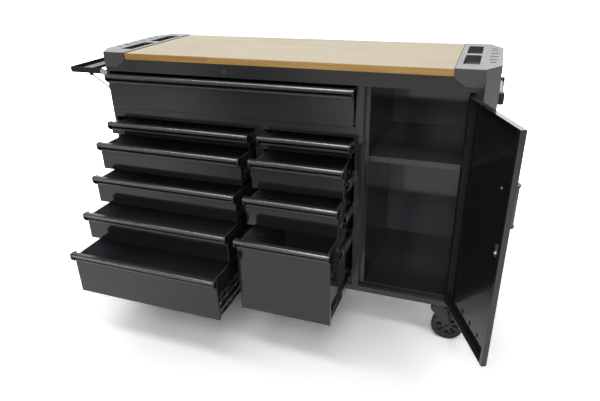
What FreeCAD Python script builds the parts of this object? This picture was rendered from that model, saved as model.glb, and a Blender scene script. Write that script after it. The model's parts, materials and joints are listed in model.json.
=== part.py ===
"""Rolling tool cabinet: a sheet-metal case on casters with ten drawers, a cupboard and a wood work top.

Millimetres. X points right, Y points back and Z points up, from the floor under the middle of the case.
The cabinet is drawn as it stands in use: drawers part open, cupboard door open, side tray unfolded.
"""
import FreeCAD
import Part
import math
import os

# Overall sizes
overall_width = 1430.0
depth = 464.0
work_height = 1010.0

# Case
case_bottom = 162.0
sheet = 1.5
fold_radius = 1.0
top_rail_height = 46.0
cross_rail_height = 37.0
bottom_rail_height = 22.0
rail_return = 18.0
panel_flange = 12.0
back_inset = 5.5
post_depth = 10.0
post_width = 30.0
post_setback = 22.0
post_before_slide_end = 12.0
left_column_width = 584.5
divider_width = 32.0
cupboard_width = 385.0
partition_stile = 27.0
partition_width = 43.0
jamb_stile = 22.4
jamb_stop = 19.1
cupboard_floor_height = 36.0
screw_radius = 4.0
screw_height = 1.8
screw_dome_share = 0.6
round_end_share = 0.98
back_screw_rows = 5
back_screw_end_inset = 60.0
back_screw_side_inset = 25.0
back_screw_past_partition = 8.0

# Work top and its end caps
top_thickness = 22.0
top_edge_radius = 2.0
cap_width = 133.0
cap_overhang = 42.0
cap_proud = 2.0
cap_wall = 3.0
cap_deck = 4.0
cap_chamfer_x = 43.0
cap_chamfer_y = 75.0
cap_skirt_drop = 37.0
cap_leg_drop = 181.0
cap_leg_return = 14.0
cap_edge_radius = 2.0
apron_plate_drop = 29.0
apron_plate_corner = 33.0
apron_plate_width = 86.0
apron_plate_edge = 7.0
apron_corner_radius = 4.0
apron_outer_radius = 8.0
recess_from_edge = 18.0
recess_width = 49.0
recess_depth = 20.0
recess_wall = 2.0
recess_corner = 4.0
recess_joint = 0.5
slot_width = 10.0
slot_fit_under_deck = 0.5

# Places along the caps are shares of the depth, from the middle; slot ends lie in from the outer side
recess_spans = ((-0.347, -0.011), (0.056, 0.373))
slots = ((-0.248, 38.0, 18.0), (-0.153, 40.5, 16.0), (-0.039, 40.5, 13.0),
         (0.080, 40.5, 11.0), (0.196, 40.0, 16.0), (0.2845, 38.0, 19.0))

# Shelf
shelf_drop = 314.0
shelf_setback = 42.0
shelf_lip = 21.0
shelf_lip_return = 10.0
shelf_clearance = 0.5
clip_width = 18.0
clip_reach = 12.0
clip_height = 14.0
clip_wall = 2.0
clip_behind_lip = 40.0
clip_before_back = 55.0
clip_slot_width = 4.0
clip_slot_height = 12.0
clip_slot_pitch = 80.0
clip_slot_rows = 5
clip_slot_rise = 198.0
clip_slot_setback = 198.0

# Drawers: the wide one on its own, then two columns that share the rows of fronts
wide_front = 126.0
wide_gap_above = 6.0
wide_gap_below = 4.0
shallow_front = 49.5
middle_front = 106.2
front_gap = 7.5
stack_gap_above = 7.0
stack_gap_below = 12.0
drawer_sheet = 1.2
drawer_rear_gap = 53.0
drawer_front_depth = 12.0
front_side_gap = 3.0
drawer_front_radius = 2.0
drawer_hem_height = 8.0
drawer_hem_thickness = 2.6
hem_below_round = 0.3
drawer_top_step = 0.8
drawer_wall_drop = 12.0
drawer_floor_rise = 6.0

# Each drawer: its number, the share of its length that stands open, and the heights of its slides as
# shares of its front
wide_drawer = ("01", 0.040, (0.19,))
left_drawers = (("02", 0.116, (0.465,)), ("03", 0.312, (0.188,)), ("04", 0.448, (0.188,)),
                ("05", 0.651, (0.188,)), ("06", 0.899, (0.125, 0.4705)))
right_drawers = (("07", 0.109, (0.465,)), ("08", 0.307, (0.188,)), ("09", 0.455, (0.188,)),
                 ("10", 0.673, (0.0746, 0.689)))

# Drawer slides, measured out from the wall that carries them
slide_space = 13.0
slide_metal = 1.4
slide_behind_front = 2.0
outer_height = 45.0
outer_flange = 9.5
middle_height = 36.4
middle_start = 2.2
middle_flange = 8.3
inner_height = 27.0
inner_flange = 8.0
slide_running_gap = 0.3
ball_strip_length = 120.0
ball_strip_inset = 12.0
ball_strip_width = 4.0
ball_strip_gap = 1.0

# Pulls of the drawers and the door
pull_height = 32.0
pull_depth = 18.0
door_pull_height = 22.0
door_pull_depth = 16.0
pull_metal = 2.4
pull_nose_share = 0.41
pull_nose_radius = 6.0
pull_tip_radius = 1.0
pull_inner_radius = 0.6
pull_bead = 7.0
pull_bead_depth = 7.0
pull_bead_radius = 1.8
pull_end_thickness = 6.0
pull_end_overhang = 1.5
pull_end_proud = 0.4
pull_end_nose_share = 0.66
pull_end_nose_radius = 4.0
pull_end_foot_radius = 2.0

# Cupboard door and its long hinge
door_side_gap = 6.0
door_gap_below = 9.0
door_gap_above = 8.0
door_thickness = 18.0
door_sheet = 1.2
door_lip = 14.0
door_end_lip = 4.0
door_radius = 2.0
door_stop_gap = 0.5
door_open_angle = 115.0
hinge_axis_proud = 1.5
hinge_side_gap = 5.6
hinge_pin_radius = 1.2
hinge_running_gap = 0.05
hinge_barrel_radius = 2.8
hinge_leaf = 1.0
hinge_leaf_start = 3.3
hinge_leaf_depth = 14.2
hinge_knuckles = 12
hinge_knuckle_gap = 0.4
hinge_pin_head_radius = 2.2
hinge_pin_head = 1.0
dimple_places = (119.0, 180.0, 239.0)
dimple_above_edge = 47.0
dimple_height = 18.0
dimple_width = 8.0
dimple_rise = 1.0
dimple_root = 0.2
door_pull_inset = 16.0
door_pull_drop = 150.0
door_pull_length = 124.0
door_lock_inset = 24.0
door_lock_drop = 355.5

# Key locks
lock_from_partition = 468.0
lock_drop = 48.0
lock_face_radius = 8.5
lock_face_proud = 2.5
lock_face_round = 1.0
lock_barrel_radius = 7.0
lock_barrel_length = 16.0
lock_fit = 0.05
lock_cam_width = 14.0
lock_cam_thickness = 2.0
lock_cam_corner = 3.0
drawer_cam_rise = 15.0
door_cam_rise = 26.0
door_cam_foot = 13.0
key_slot_length = 7.0
key_slot_width = 1.6
key_slot_depth = 1.2

# Badge plate
badge_from_side = 91.0
badge_drop = 59.0
badge_width = 37.0
badge_height = 31.0
badge_thickness = 1.2
badge_corner = 2.0

# Folding side tray
tray_axis_out = 19.0
tray_axis_drop = 72.0
tray_metal = 1.2
tray_reach = 149.0
tray_rise = 12.0
tray_end_inset = 1.0
trough_width = 62.0
trough_depth = 20.0
ledge_width = 44.0
ledge_lip = 10.0
arm_below_trough = 1.0
tray_arm_nose = 8.0
tray_nose_top_radius = 10.0
tray_corner = 5.0
foot_offset = 57.0
foot_width = 16.0
foot_drop = 7.8
foot_thickness = 5.0
foot_corner = 3.0
bracket_metal = 1.5
bracket_gap = 0.5
bracket_height = 20.0
bracket_drop = 2.0
bracket_reach = 29.0
bracket_wrap = 18.0
bracket_corner = 3.0
tray_pin_radius = 3.0
tray_pin_head_radius = 4.5
tray_pin_head = 1.5
tray_pin_gap = 0.06
stay_drop_x = 70.0
stay_drop_z = 47.0
stay_width = 6.0
stay_metal = 2.5
stay_eye_radius = 4.0
stay_pin_radius = 2.0
stay_pin_head_radius = 3.5
stay_pin_head = 1.0
stay_pin_drop = 14.0
stay_gap = 0.5
stay_lug_width = 20.0
stay_lug_depth = 14.0
stay_lug_reach = 12.0
stay_lug_metal = 1.2
stay_lug_clearance = 0.6

# Push handle
handle_bar_radius = 12.0
handle_bar_out = 46.0
handle_bar_drop = 108.0
handle_bracket_width = 25.0
handle_bracket_outer = 125.0
handle_bracket_height = 36.0
handle_bracket_reach = 60.0
handle_bracket_radius = 6.0
handle_bar_seat = 10.0
handle_bar_fit = 0.1

# Casters
wheel_radius = 58.0
wheel_width = 32.0
tyre_inner_radius = 45.0
tyre_crown = 4.0
rim_thickness = 4.0
web_thickness = 14.0
wheel_pocket_floor = 2.0
hub_radius = 12.0
wheel_pockets = 8
wheel_pocket_mid_radius = 28.5
wheel_pocket_length = 19.0
wheel_pocket_width = 11.0
axle_radius = 5.0
axle_gap = 0.05
wheel_side_gap = 2.5
rim_inset = 1.0
caster_inset_x = 61.0
caster_inset_y = 43.0
caster_trail = 38.0
caster_plate_width = 95.0
caster_plate_depth = 70.0
caster_plate = 3.0
caster_plate_corner = 6.0
caster_bolt_inset = 9.0
caster_bolt_head = 3.0
caster_bolt_radius = 5.0
fork_metal = 2.5
fork_crown_height = 140.0
fork_top_half = 27.0
fork_top_extra = 6.0
fork_shoulder = 10.0
fork_taper_rise = 4.0
fork_taper_share = 0.93
fork_boss_radius = 13.0
race_radius = 27.0
race_height = 7.0
race_gap = 0.5
kingpin_radius = 6.0
kingpin_gap = 0.05
kingpin_head_radius = 9.0
kingpin_head = 3.0
nut_radius = 8.0
nut_thickness = 5.0

# Places that follow from the sizes
half_width = overall_width / 2
half_case = half_width - cap_overhang
front = -depth / 2
back = depth / 2
case_top = work_height - top_thickness
inner_wall = half_case - sheet
top_rail_bottom = case_top - top_rail_height
wide_top = top_rail_bottom - wide_gap_above
wide_bottom = wide_top - wide_front
cross_rail_top = wide_bottom - wide_gap_below
cross_rail_bottom = cross_rail_top - cross_rail_height
bottom_rail_top = case_bottom + bottom_rail_height
back_face = back - back_inset - sheet
post_face = post_depth - inner_wall
divider_left = post_face + left_column_width
divider_right = divider_left + divider_width
partition_left = half_case - cupboard_width
partition_right = partition_left + partition_width
stop_face = front + door_thickness + door_stop_gap
door_left = partition_left + partition_stile + door_side_gap
door_right = half_case - jamb_stile - hinge_side_gap
door_bottom = bottom_rail_top + door_gap_below
door_top = top_rail_bottom - door_gap_above
door_height = door_top - door_bottom
door_lock_height = door_top - door_lock_drop
hinge_x = door_right + hinge_side_gap / 2
hinge_y = front - hinge_axis_proud
cupboard_floor = case_bottom + cupboard_floor_height
shelf_top = work_height - shelf_drop
shelf_front = front + shelf_setback
clip_places = (shelf_front + clip_behind_lip, back_face - clip_before_back)
lock_x = partition_left - lock_from_partition
lock_height = work_height - lock_drop
badge_left = badge_from_side - half_case
badge_bottom = work_height - badge_drop
tray_axis_x = -half_case - tray_axis_out
tray_axis_z = work_height - tray_axis_drop
tray_half_length = depth / 2 - tray_end_inset
handle_bar_x = half_case + handle_bar_out
caster_x = half_case - caster_inset_x
caster_y = depth / 2 - caster_inset_y
drawer_length = back_face - drawer_rear_gap - front
slide_front = front + drawer_front_depth + slide_behind_front
slide_length = front + drawer_length - slide_front
cap_side = back + cap_wall

AXES = {"x": FreeCAD.Vector(1, 0, 0), "y": FreeCAD.Vector(0, 1, 0), "z": FreeCAD.Vector(0, 0, 1)}


def front_spans(heights):
    """Bottom and top of each front in a column, from the cross rail down; one more fills the rest."""
    spans = []
    top = cross_rail_bottom - stack_gap_above
    for height in heights:
        spans.append((top - height, top))
        top -= height + front_gap
    spans.append((bottom_rail_top + stack_gap_below, top))
    return spans


def placed_drawers(group, left_wall, right_wall, spans):
    """Number, walls, bottom, top, distance open and slide heights of each drawer between two walls."""
    placed = []
    for (number, open_share, slide_shares), (bottom, top) in zip(group, spans):
        heights = tuple(bottom + share * (top - bottom) for share in slide_shares)
        placed.append((number, left_wall, right_wall, bottom, top, open_share * drawer_length, heights))
    return placed


shallow_and_middle = (shallow_front, middle_front, middle_front)
drawers = (placed_drawers((wide_drawer,), post_face, partition_left, [(wide_bottom, wide_top)])
           + placed_drawers(left_drawers, post_face, divider_left,
                            front_spans(shallow_and_middle + (middle_front,)))
           + placed_drawers(right_drawers, divider_right, partition_left, front_spans(shallow_and_middle)))


def point(axis, at, a, b):
    """The point at height `at` along an axis, with (a, b) in the plane across it."""
    if axis == "x":
        return FreeCAD.Vector(at, a, b)
    if axis == "y":
        return FreeCAD.Vector(a, at, b)
    return FreeCAD.Vector(a, b, at)


def box(x0, x1, y0, y1, z0, z1):
    return Part.makeBox(x1 - x0, y1 - y0, z1 - z0, FreeCAD.Vector(x0, y0, z0))


def rod(axis, a, b, start, end, radius):
    """A cylinder along an axis, centred on (a, b), from start to end."""
    return Part.makeCylinder(radius, end - start, point(axis, start, a, b), AXES[axis])


def ring(axis, a, b, start, end, outer, inner):
    return rod(axis, a, b, start, end, outer).cut(rod(axis, a, b, start - 1, end + 1, inner))


def rounded_corner(before, corner, after, radius):
    """The start, middle and end of the arc that rounds a corner."""
    into = (before - corner).normalize()
    out = (after - corner).normalize()
    half_angle = into.getAngle(out) / 2
    reach = radius / math.tan(half_angle)
    centre_way = (into + out).normalize()
    middle = corner + centre_way * (radius / math.sin(half_angle) - radius)
    return corner + into * reach, middle, corner + out * reach


def outline(corners, axis, at):
    """A flat face across an axis. A corner is (a, b), or (a, b, radius) where it is rounded."""
    places = [point(axis, at, corner[0], corner[1]) for corner in corners]
    edges = []
    starts = []
    ends = []
    count = len(places)
    for index, place in enumerate(places):
        radius = corners[index][2] if len(corners[index]) > 2 else 0.0
        if radius:
            following = places[(index + 1) % count]
            start, middle, end = rounded_corner(places[index - 1], place, following, radius)
            edges.append(Part.Arc(start, middle, end).toShape())
        else:
            start = place
            end = place
        starts.append(start)
        ends.append(end)
    for index in range(count):
        begin = ends[index]
        finish = starts[(index + 1) % count]
        if begin.distanceToPoint(finish) > 1e-6:
            edges.append(Part.LineSegment(begin, finish).toShape())
    return Part.Face(Part.Wire(Part.__sortEdges__(edges)))


def prism(corners, axis, start, end):
    """An outline pushed along an axis from start to end."""
    return outline(corners, axis, start).extrude(AXES[axis] * (end - start))


def join(shapes):
    """One piece from parts that touch or overlap."""
    whole = shapes[0]
    for shape in shapes[1:]:
        whole = whole.fuse(shape)
    return whole.removeSplitter()


def mirror_x(shape):
    return shape.mirror(FreeCAD.Vector(0, 0, 0), AXES["x"])


def mirror_y(shape):
    return shape.mirror(FreeCAD.Vector(0, 0, 0), AXES["y"])


def rounded_slot(axis, a, b, length_a, length_b, start, end):
    """A long shape with round ends, centred on (a, b), pushed along an axis."""
    half_a = length_a / 2
    half_b = length_b / 2
    radius = min(half_a, half_b) * round_end_share
    corners = [(a - half_a, b - half_b, radius), (a + half_a, b - half_b, radius),
               (a + half_a, b + half_b, radius), (a - half_a, b + half_b, radius)]
    return prism(corners, axis, start, end)


def rear_screw_head(x, z, face):
    """A low domed head that stands on a face that looks back, at y = face."""
    head = rod("y", x, z, face, face + screw_height, screw_radius)
    outer = [edge for edge in head.Edges if edge.BoundBox.YMin > face + screw_height - 0.01]
    return head.makeFillet(screw_height * screw_dome_share, outer)


def slide_post(start):
    """A folded post on the left wall that carries the slides, open to the wall."""
    end = start + post_width
    plan = [(-inner_wall, start), (post_face, start), (post_face, end), (-inner_wall, end),
            (-inner_wall, end - sheet), (post_face - sheet, end - sheet), (post_face - sheet, start + sheet),
            (-inner_wall, start + sheet)]
    return prism(plan, "z", case_bottom + 2 * sheet, top_rail_bottom)


def side_panels():
    """Two side walls with short flanges; the left one has a front flange and two posts for the slides."""
    inner_edge = inner_wall - panel_flange
    profile = [(half_case, case_bottom), (half_case, case_top), (inner_edge, case_top),
               (inner_edge, case_top - sheet), (inner_wall, case_top - sheet),
               (inner_wall, case_bottom + sheet), (inner_edge, case_bottom + sheet),
               (inner_edge, case_bottom)]
    wall = prism(profile, "y", front + rail_return, back)
    nose = box(inner_wall, half_case, front, front + rail_return, case_bottom, case_top)
    right = join([wall, nose])
    left = [mirror_x(right)]
    for low, high in ((bottom_rail_top, cross_rail_bottom), (cross_rail_top, top_rail_bottom)):
        left.append(box(-half_case, post_face, front, front + sheet, low, high))
    rear_post = slide_front + slide_length - post_before_slide_end - post_width
    return [right, join(left), slide_post(front + post_setback), slide_post(rear_post)]


def back_panel():
    """The rear wall, a tray folded back at its sides, with rows of screws into the uprights."""
    side = inner_wall
    panel = box(-side, side, back_face, back_face + sheet, case_bottom + sheet, case_top - sheet)
    flange = box(side - sheet, side, back_face, back, case_bottom + sheet, case_top - sheet)
    pieces = [join([panel, flange, mirror_x(flange)])]
    lowest = case_bottom + back_screw_end_inset
    pitch = (case_top - back_screw_end_inset - lowest) / (back_screw_rows - 1)
    columns = (-side + back_screw_side_inset, divider_left + divider_width / 2,
               partition_left + back_screw_past_partition, side - back_screw_side_inset)
    for row in range(back_screw_rows):
        for x in columns:
            pieces.append(rear_screw_head(x, lowest + row * pitch, back_face + sheet))
    return pieces


def bottom_panel():
    """The floor of the case and the raised floor of the cupboard."""
    low = case_bottom + sheet
    floor = box(-inner_wall, inner_wall, front + sheet, back_face, low, low + sheet)
    raised = [(stop_face, bottom_rail_top), (stop_face, cupboard_floor), (back_face, cupboard_floor),
              (back_face, cupboard_floor - sheet), (stop_face + sheet, cupboard_floor - sheet),
              (stop_face + sheet, bottom_rail_top)]
    shelf_floor = prism(raised, "x", partition_right, inner_wall)
    jamb_left = half_case - jamb_stile - jamb_stop
    notch = box(jamb_left, inner_wall, stop_face, stop_face + rail_return, bottom_rail_top, cupboard_floor)
    return [floor, shelf_floor.cut(notch)]


def rail(bottom, top, left, right):
    """A front rail: a folded channel that opens to the back."""
    deep = front + rail_return
    profile = [(front, bottom, fold_radius), (deep, bottom), (deep, bottom + sheet),
               (front + sheet, bottom + sheet), (front + sheet, top - sheet), (deep, top - sheet),
               (deep, top), (front, top, fold_radius)]
    return prism(profile, "x", left, right)


def front_rails():
    """Top rail with the lock's hole, cross rail under the wide drawer, bottom rail."""
    top = rail(top_rail_bottom, case_top, -inner_wall, inner_wall)
    top = top.cut(rod("y", lock_x, lock_height, front - 1, front + sheet + 1, lock_barrel_radius + lock_fit))
    cross = rail(cross_rail_bottom, cross_rail_top, -inner_wall, partition_left)
    deep = front + rail_return
    under = bottom_rail_top - sheet
    profile = [(front, case_bottom), (front + sheet, case_bottom), (front + sheet, under), (deep, under),
               (deep, bottom_rail_top), (front, bottom_rail_top, fold_radius)]
    bottom = prism(profile, "x", -inner_wall, inner_wall)
    return [top, cross, bottom]


def column_divider():
    """The narrow upright between the two columns of drawers, folded from sheet and open at the back."""
    floor = case_bottom + 2 * sheet
    deep = front + rail_return
    outer = [(front, bottom_rail_top), (deep, bottom_rail_top), (deep, floor), (back_face, floor),
             (back_face, cross_rail_bottom), (front, cross_rail_bottom)]
    solid = prism(outer, "x", divider_left, divider_right)
    hollow = box(divider_left + sheet, divider_right - sheet, front + sheet, back_face + 1,
                 case_bottom, cross_rail_bottom + 1)
    return [solid.cut(hollow)]


def clip_slots(x0, x1):
    """Slots for the shelf clips, cut through a wall that lies between x0 and x1."""
    cuts = []
    for row in range(clip_slot_rows):
        low = case_bottom + clip_slot_rise + row * clip_slot_pitch
        for y in (front + clip_slot_setback, clip_places[1]):
            cuts.append(box(x0, x1, y, y + clip_slot_width, low, low + clip_slot_height))
    return cuts


def cupboard_partition():
    """The wall between drawers and cupboard: one sheet folded round the front, with a step for the door."""
    left = partition_left
    right = partition_right
    stile = left + partition_stile
    plan = [(left, back_face), (left, front, fold_radius), (stile, front, fold_radius), (stile, stop_face),
            (right, stop_face), (right, back_face), (right - sheet, back_face),
            (right - sheet, stop_face + sheet), (stile - sheet, stop_face + sheet),
            (stile - sheet, front + sheet), (left + sheet, front + sheet), (left + sheet, back_face)]
    wall = prism(plan, "z", bottom_rail_top, top_rail_bottom)
    for cut in clip_slots(right - sheet - 0.5, right + 0.5):
        wall = wall.cut(cut)
    return [wall]


def hinge_knuckle_spans():
    """The bottom and top of each knuckle of the door hinge."""
    pitch = door_height / hinge_knuckles
    spans = []
    for index in range(hinge_knuckles):
        low = door_bottom + index * pitch + hinge_knuckle_gap / 2
        spans.append((low, low + pitch - hinge_knuckle_gap))
    return spans


def hinge_half(leaf_left, first):
    """One leaf of the door hinge with every second knuckle, drawn with the door shut."""
    leaf_y = hinge_y + hinge_leaf_start
    leaf_right = leaf_left + hinge_leaf
    pieces = [box(leaf_left, leaf_right, leaf_y, leaf_y + hinge_leaf_depth, door_bottom, door_top)]
    bore = hinge_pin_radius + hinge_running_gap
    for low, high in hinge_knuckle_spans()[first::2]:
        tab = box(leaf_left, leaf_right, hinge_y, leaf_y, low, high)
        barrel = rod("z", hinge_x, hinge_y, low, high, hinge_barrel_radius)
        pieces.append(tab.fuse(barrel))
    return join(pieces).cut(rod("z", hinge_x, hinge_y, door_bottom - 1, door_top + 1, bore))


def hinge_pin():
    """The wire through the knuckles, headed at both ends."""
    pin = rod("z", hinge_x, hinge_y, door_bottom, door_top, hinge_pin_radius)
    low = rod("z", hinge_x, hinge_y, door_bottom - hinge_pin_head, door_bottom, hinge_pin_head_radius)
    high = rod("z", hinge_x, hinge_y, door_top, door_top + hinge_pin_head, hinge_pin_head_radius)
    return join([pin, low, high])


def door_jambs():
    """The upright at the hinge side with its step, the fixed hinge leaf and the hinge pin."""
    edge = half_case - jamb_stile
    inner = edge - jamb_stop
    plan = [(inner_wall, front), (edge, front, fold_radius), (edge, stop_face), (inner, stop_face),
            (inner, stop_face + rail_return), (inner + sheet, stop_face + rail_return),
            (inner + sheet, stop_face + sheet), (edge + sheet, stop_face + sheet),
            (edge + sheet, front + sheet), (inner_wall, front + sheet)]
    jamb = prism(plan, "z", bottom_rail_top, top_rail_bottom)
    return [jamb, hinge_half(edge - hinge_leaf, 0), hinge_pin()]


def cupboard_shelf():
    """The shelf, a sheet with a folded front lip, on four clips."""
    left = partition_right + shelf_clearance
    right = inner_wall - shelf_clearance
    low = shelf_top - shelf_lip
    under = shelf_top - sheet
    rear = back_face - shelf_clearance
    profile = [(shelf_front, low, fold_radius), (shelf_front, shelf_top, fold_radius), (rear, shelf_top),
               (rear, under), (shelf_front + sheet, under), (shelf_front + sheet, low + sheet),
               (shelf_front + shelf_lip_return, low + sheet), (shelf_front + shelf_lip_return, low)]
    pieces = [prism(profile, "x", left, right)]
    for wall, way in ((partition_right, 1), (inner_wall, -1)):
        for y in clip_places:
            pieces.append(shelf_clip(wall, way, y, under))
    return pieces


def shelf_clip(wall, way, y, top):
    """A bent clip on a wall, holding the shelf from below."""
    near = wall
    far = wall + way * clip_reach
    thick = wall + way * clip_wall
    bearing = box(min(near, far), max(near, far), y, y + clip_width, top - clip_wall, top)
    back_plate = box(min(near, thick), max(near, thick), y, y + clip_width, top - clip_height, top)
    return join([bearing, back_plate])


def worktop():
    """The solid wood top between the end caps."""
    half = half_width - cap_width
    slab = box(-half, half, front, back, case_top, work_height)
    edges = [edge for edge in slab.Edges if edge.Length > half and edge.BoundBox.ZMax > case_top + 1]
    return [slab.makeFillet(top_edge_radius, edges)]


def cap_plan(inset):
    """The outline of the right-hand cap seen from above, moved in by inset."""
    slope = math.hypot(cap_chamfer_x, cap_chamfer_y)
    shift_y = inset * (slope - cap_chamfer_x) / cap_chamfer_y
    shift_x = inset * (slope - cap_chamfer_y) / cap_chamfer_x
    inner = half_width - cap_width + inset
    corner_x = half_width - cap_chamfer_x - shift_x
    corner_y = cap_side - cap_chamfer_y - shift_y
    outer = half_width - inset
    side = cap_side - inset
    return [(inner, -side), (corner_x, -side), (outer, -corner_y), (outer, corner_y), (corner_x, side),
            (inner, side)]


def cap_skirt(bottom, top):
    """The band of wall that hangs outside the case, following the cap's outline."""
    band = prism(cap_plan(0), "z", bottom, top).cut(prism(cap_plan(cap_wall), "z", bottom - 1, top + 1))
    inside = box(0, half_case + 0.5, -cap_side - 1, cap_side + 1, bottom - 1, top + 1)
    return band.cut(inside)


def cap_front_plate():
    """The flat plate that laps over the end of the top rail, with a sloping lower corner."""
    left = half_width - cap_chamfer_x - apron_plate_width
    right = half_width - cap_chamfer_x
    low = case_top - apron_plate_drop
    corners = [(left, case_top + cap_deck), (left, case_top - apron_plate_edge),
               (left + apron_plate_corner, low, apron_corner_radius), (right, low, apron_outer_radius),
               (right, case_top + cap_deck)]
    return prism(corners, "y", -cap_side, front)


def right_end_cap(leg_drop):
    """A moulded cap: deck with two tubs and six slots, skirt, front plate and corner legs."""
    top = work_height + cap_proud
    deck_under = top - cap_deck
    hollow = prism(cap_plan(cap_wall), "z", case_top - 1, deck_under)
    shell = prism(cap_plan(0), "z", case_top, top).cut(hollow)
    pieces = [shell, cap_skirt(case_top - cap_skirt_drop, case_top), cap_front_plate()]
    if leg_drop > cap_skirt_drop:
        band = cap_skirt(case_top - leg_drop, case_top - cap_skirt_drop)
        leg_end = cap_side - cap_chamfer_y - cap_leg_return
        middle = box(0, half_width + 1, -leg_end, leg_end, case_top - leg_drop - 1, case_top)
        pieces.append(band.cut(middle))
    left = half_width - cap_width + recess_from_edge
    right = left + recess_width
    bottom = top - recess_depth
    tubs = []
    for low_share, high_share in recess_spans:
        low = low_share * depth
        high = high_share * depth
        pieces.append(box(left - recess_wall, right + recess_wall, low - recess_wall, high + recess_wall,
                          bottom - recess_wall, top - recess_joint))
        pocket = [(left, low, recess_corner), (right, low, recess_corner), (right, high, recess_corner),
                  (left, high, recess_corner)]
        tubs.append(prism(pocket, "z", bottom, top + 1))
    cap = join(pieces)
    rim = [edge for edge in cap.Edges if edge.BoundBox.ZMin > top - 0.01]
    cap = cap.makeFillet(cap_edge_radius, rim)
    for tub in tubs:
        cap = cap.cut(tub)
    for share, inner_end, outer_end in slots:
        middle_x = half_width - (inner_end + outer_end) / 2
        floor = deck_under - slot_fit_under_deck
        cap = cap.cut(rounded_slot("z", middle_x, share * depth, inner_end - outer_end, slot_width,
                                   floor, top + 1))
    return cap


def end_cap_right():
    return [right_end_cap(cap_leg_drop)]


def end_cap_left():
    return [mirror_x(right_end_cap(0))]


def key_lock(x, z, cam_below, cam_above):
    """A key cylinder through a front sheet, with a tongue behind it that reaches below and above."""
    outward = front - lock_face_proud
    inward = front + lock_barrel_length
    head = rod("y", x, z, outward, front, lock_face_radius)
    rim = [edge for edge in head.Edges if edge.BoundBox.YMax < outward + 0.01]
    head = head.makeFillet(lock_face_round, rim)
    barrel = rod("y", x, z, front, inward, lock_barrel_radius)
    half_slot = key_slot_width / 2
    half_length = key_slot_length / 2
    key = box(x - half_slot, x + half_slot, outward - 1, outward + key_slot_depth, z - half_length,
              z + half_length)
    left = x - lock_cam_width / 2
    right = x + lock_cam_width / 2
    tongue = [(left, z - cam_below, lock_cam_corner), (right, z - cam_below, lock_cam_corner),
              (right, z + cam_above, lock_cam_corner), (left, z + cam_above, lock_cam_corner)]
    return [join([head, barrel]).cut(key), prism(tongue, "y", inward, inward + lock_cam_thickness)]


def drawer_lock():
    """The key lock in the top rail, with its tongue behind the rail."""
    return key_lock(lock_x, lock_height, lock_cam_width / 2, drawer_cam_rise)


def badge_plate():
    """A small bare plate at the left end of the top rail."""
    right = badge_left + badge_width
    top = badge_bottom + badge_height
    corners = [(badge_left, badge_bottom, badge_corner), (right, badge_bottom, badge_corner),
               (right, top, badge_corner), (badge_left, top, badge_corner)]
    return [prism(corners, "y", front - badge_thickness, front)]


def channel(wall, way, centre, start, height, flange, shift):
    """A slide member: a C section with its web at `start` from the wall and its flanges reaching inwards."""
    half = height / 2
    web = start + slide_metal
    end = start + flange
    profile = [(start, -half), (end, -half), (end, -half + slide_metal), (web, -half + slide_metal),
               (web, half - slide_metal), (end, half - slide_metal), (end, half), (start, half)]
    corners = [(wall + way * s, centre + z) for s, z in profile]
    y0 = slide_front + shift
    return prism(corners, "y", y0, y0 + slide_length)


def inner_member(wall, way, centre, shift):
    """The slide member on the drawer, whose flanges reach back towards the wall."""
    half = inner_height / 2
    web = slide_space - slide_metal
    end = slide_space - inner_flange
    edge = half - slide_metal
    profile = [(slide_space, -half), (slide_space, half), (end, half), (end, edge), (web, edge),
               (web, -edge), (end, -edge), (end, -half)]
    corners = [(wall + way * s, centre + z) for s, z in profile]
    y0 = slide_front + shift
    return prism(corners, "y", y0, y0 + slide_length)


def middle_member(wall, way, centre, shift):
    """The sliding member between the other two, with its strips of ball cages."""
    pieces = [channel(wall, way, centre, middle_start, middle_height, middle_flange, shift)]
    strip_start = middle_start + slide_metal + ball_strip_gap
    near = wall + way * strip_start
    far = wall + way * (strip_start + ball_strip_width)
    x0 = min(near, far)
    x1 = max(near, far)
    outer_inside = outer_height / 2 - slide_metal - slide_running_gap
    inner_outside = inner_height / 2 + slide_running_gap
    middle_outside = middle_height / 2
    rear = slide_front + shift + slide_length - ball_strip_inset - ball_strip_length
    fore = slide_front + shift + ball_strip_inset
    for side in (-1, 1):
        outer_strip = sorted((centre + side * middle_outside, centre + side * outer_inside))
        inner_strip = sorted((centre + side * inner_outside, centre + side * (middle_outside - slide_metal)))
        pieces.append(box(x0, x1, rear, rear + ball_strip_length, outer_strip[0], outer_strip[1]))
        pieces.append(box(x0, x1, fore, fore + ball_strip_length, inner_strip[0], inner_strip[1]))
    return join(pieces)


def outer_slide_members():
    """The fixed members of all the drawer slides."""
    pieces = []
    for name, left_wall, right_wall, bottom, top, opened, heights in drawers:
        for centre in heights:
            pieces.append(channel(left_wall, 1, centre, 0.0, outer_height, outer_flange, 0.0))
            pieces.append(channel(right_wall, -1, centre, 0.0, outer_height, outer_flange, 0.0))
    return pieces


def drawer_slide_middle(left_wall, right_wall, opened, heights):
    pieces = []
    for centre in heights:
        pieces.append(middle_member(left_wall, 1, centre, -opened / 2))
        pieces.append(middle_member(right_wall, -1, centre, -opened / 2))
    return pieces


def drawer_front(x0, x1, y0, bottom, top):
    """The face of a drawer: a shallow pan, open to the back and the top, with a hem along its top edge."""
    t = drawer_sheet
    face_back = y0 + drawer_front_depth
    face = box(x0, x1, y0, face_back, bottom, top)
    edges = [edge for edge in face.Edges if edge.BoundBox.YMax < y0 + 0.01]
    face = face.makeFillet(drawer_front_radius, edges)
    face = face.cut(box(x0 + t, x1 - t, y0 + t, face_back + 1, bottom + t, top + 1))
    hem_top = top - drawer_front_radius * hem_below_round
    hem = box(x0 + t, x1 - t, y0 + t, y0 + drawer_hem_thickness, hem_top - drawer_hem_height, hem_top)
    return face.fuse(hem)


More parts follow.
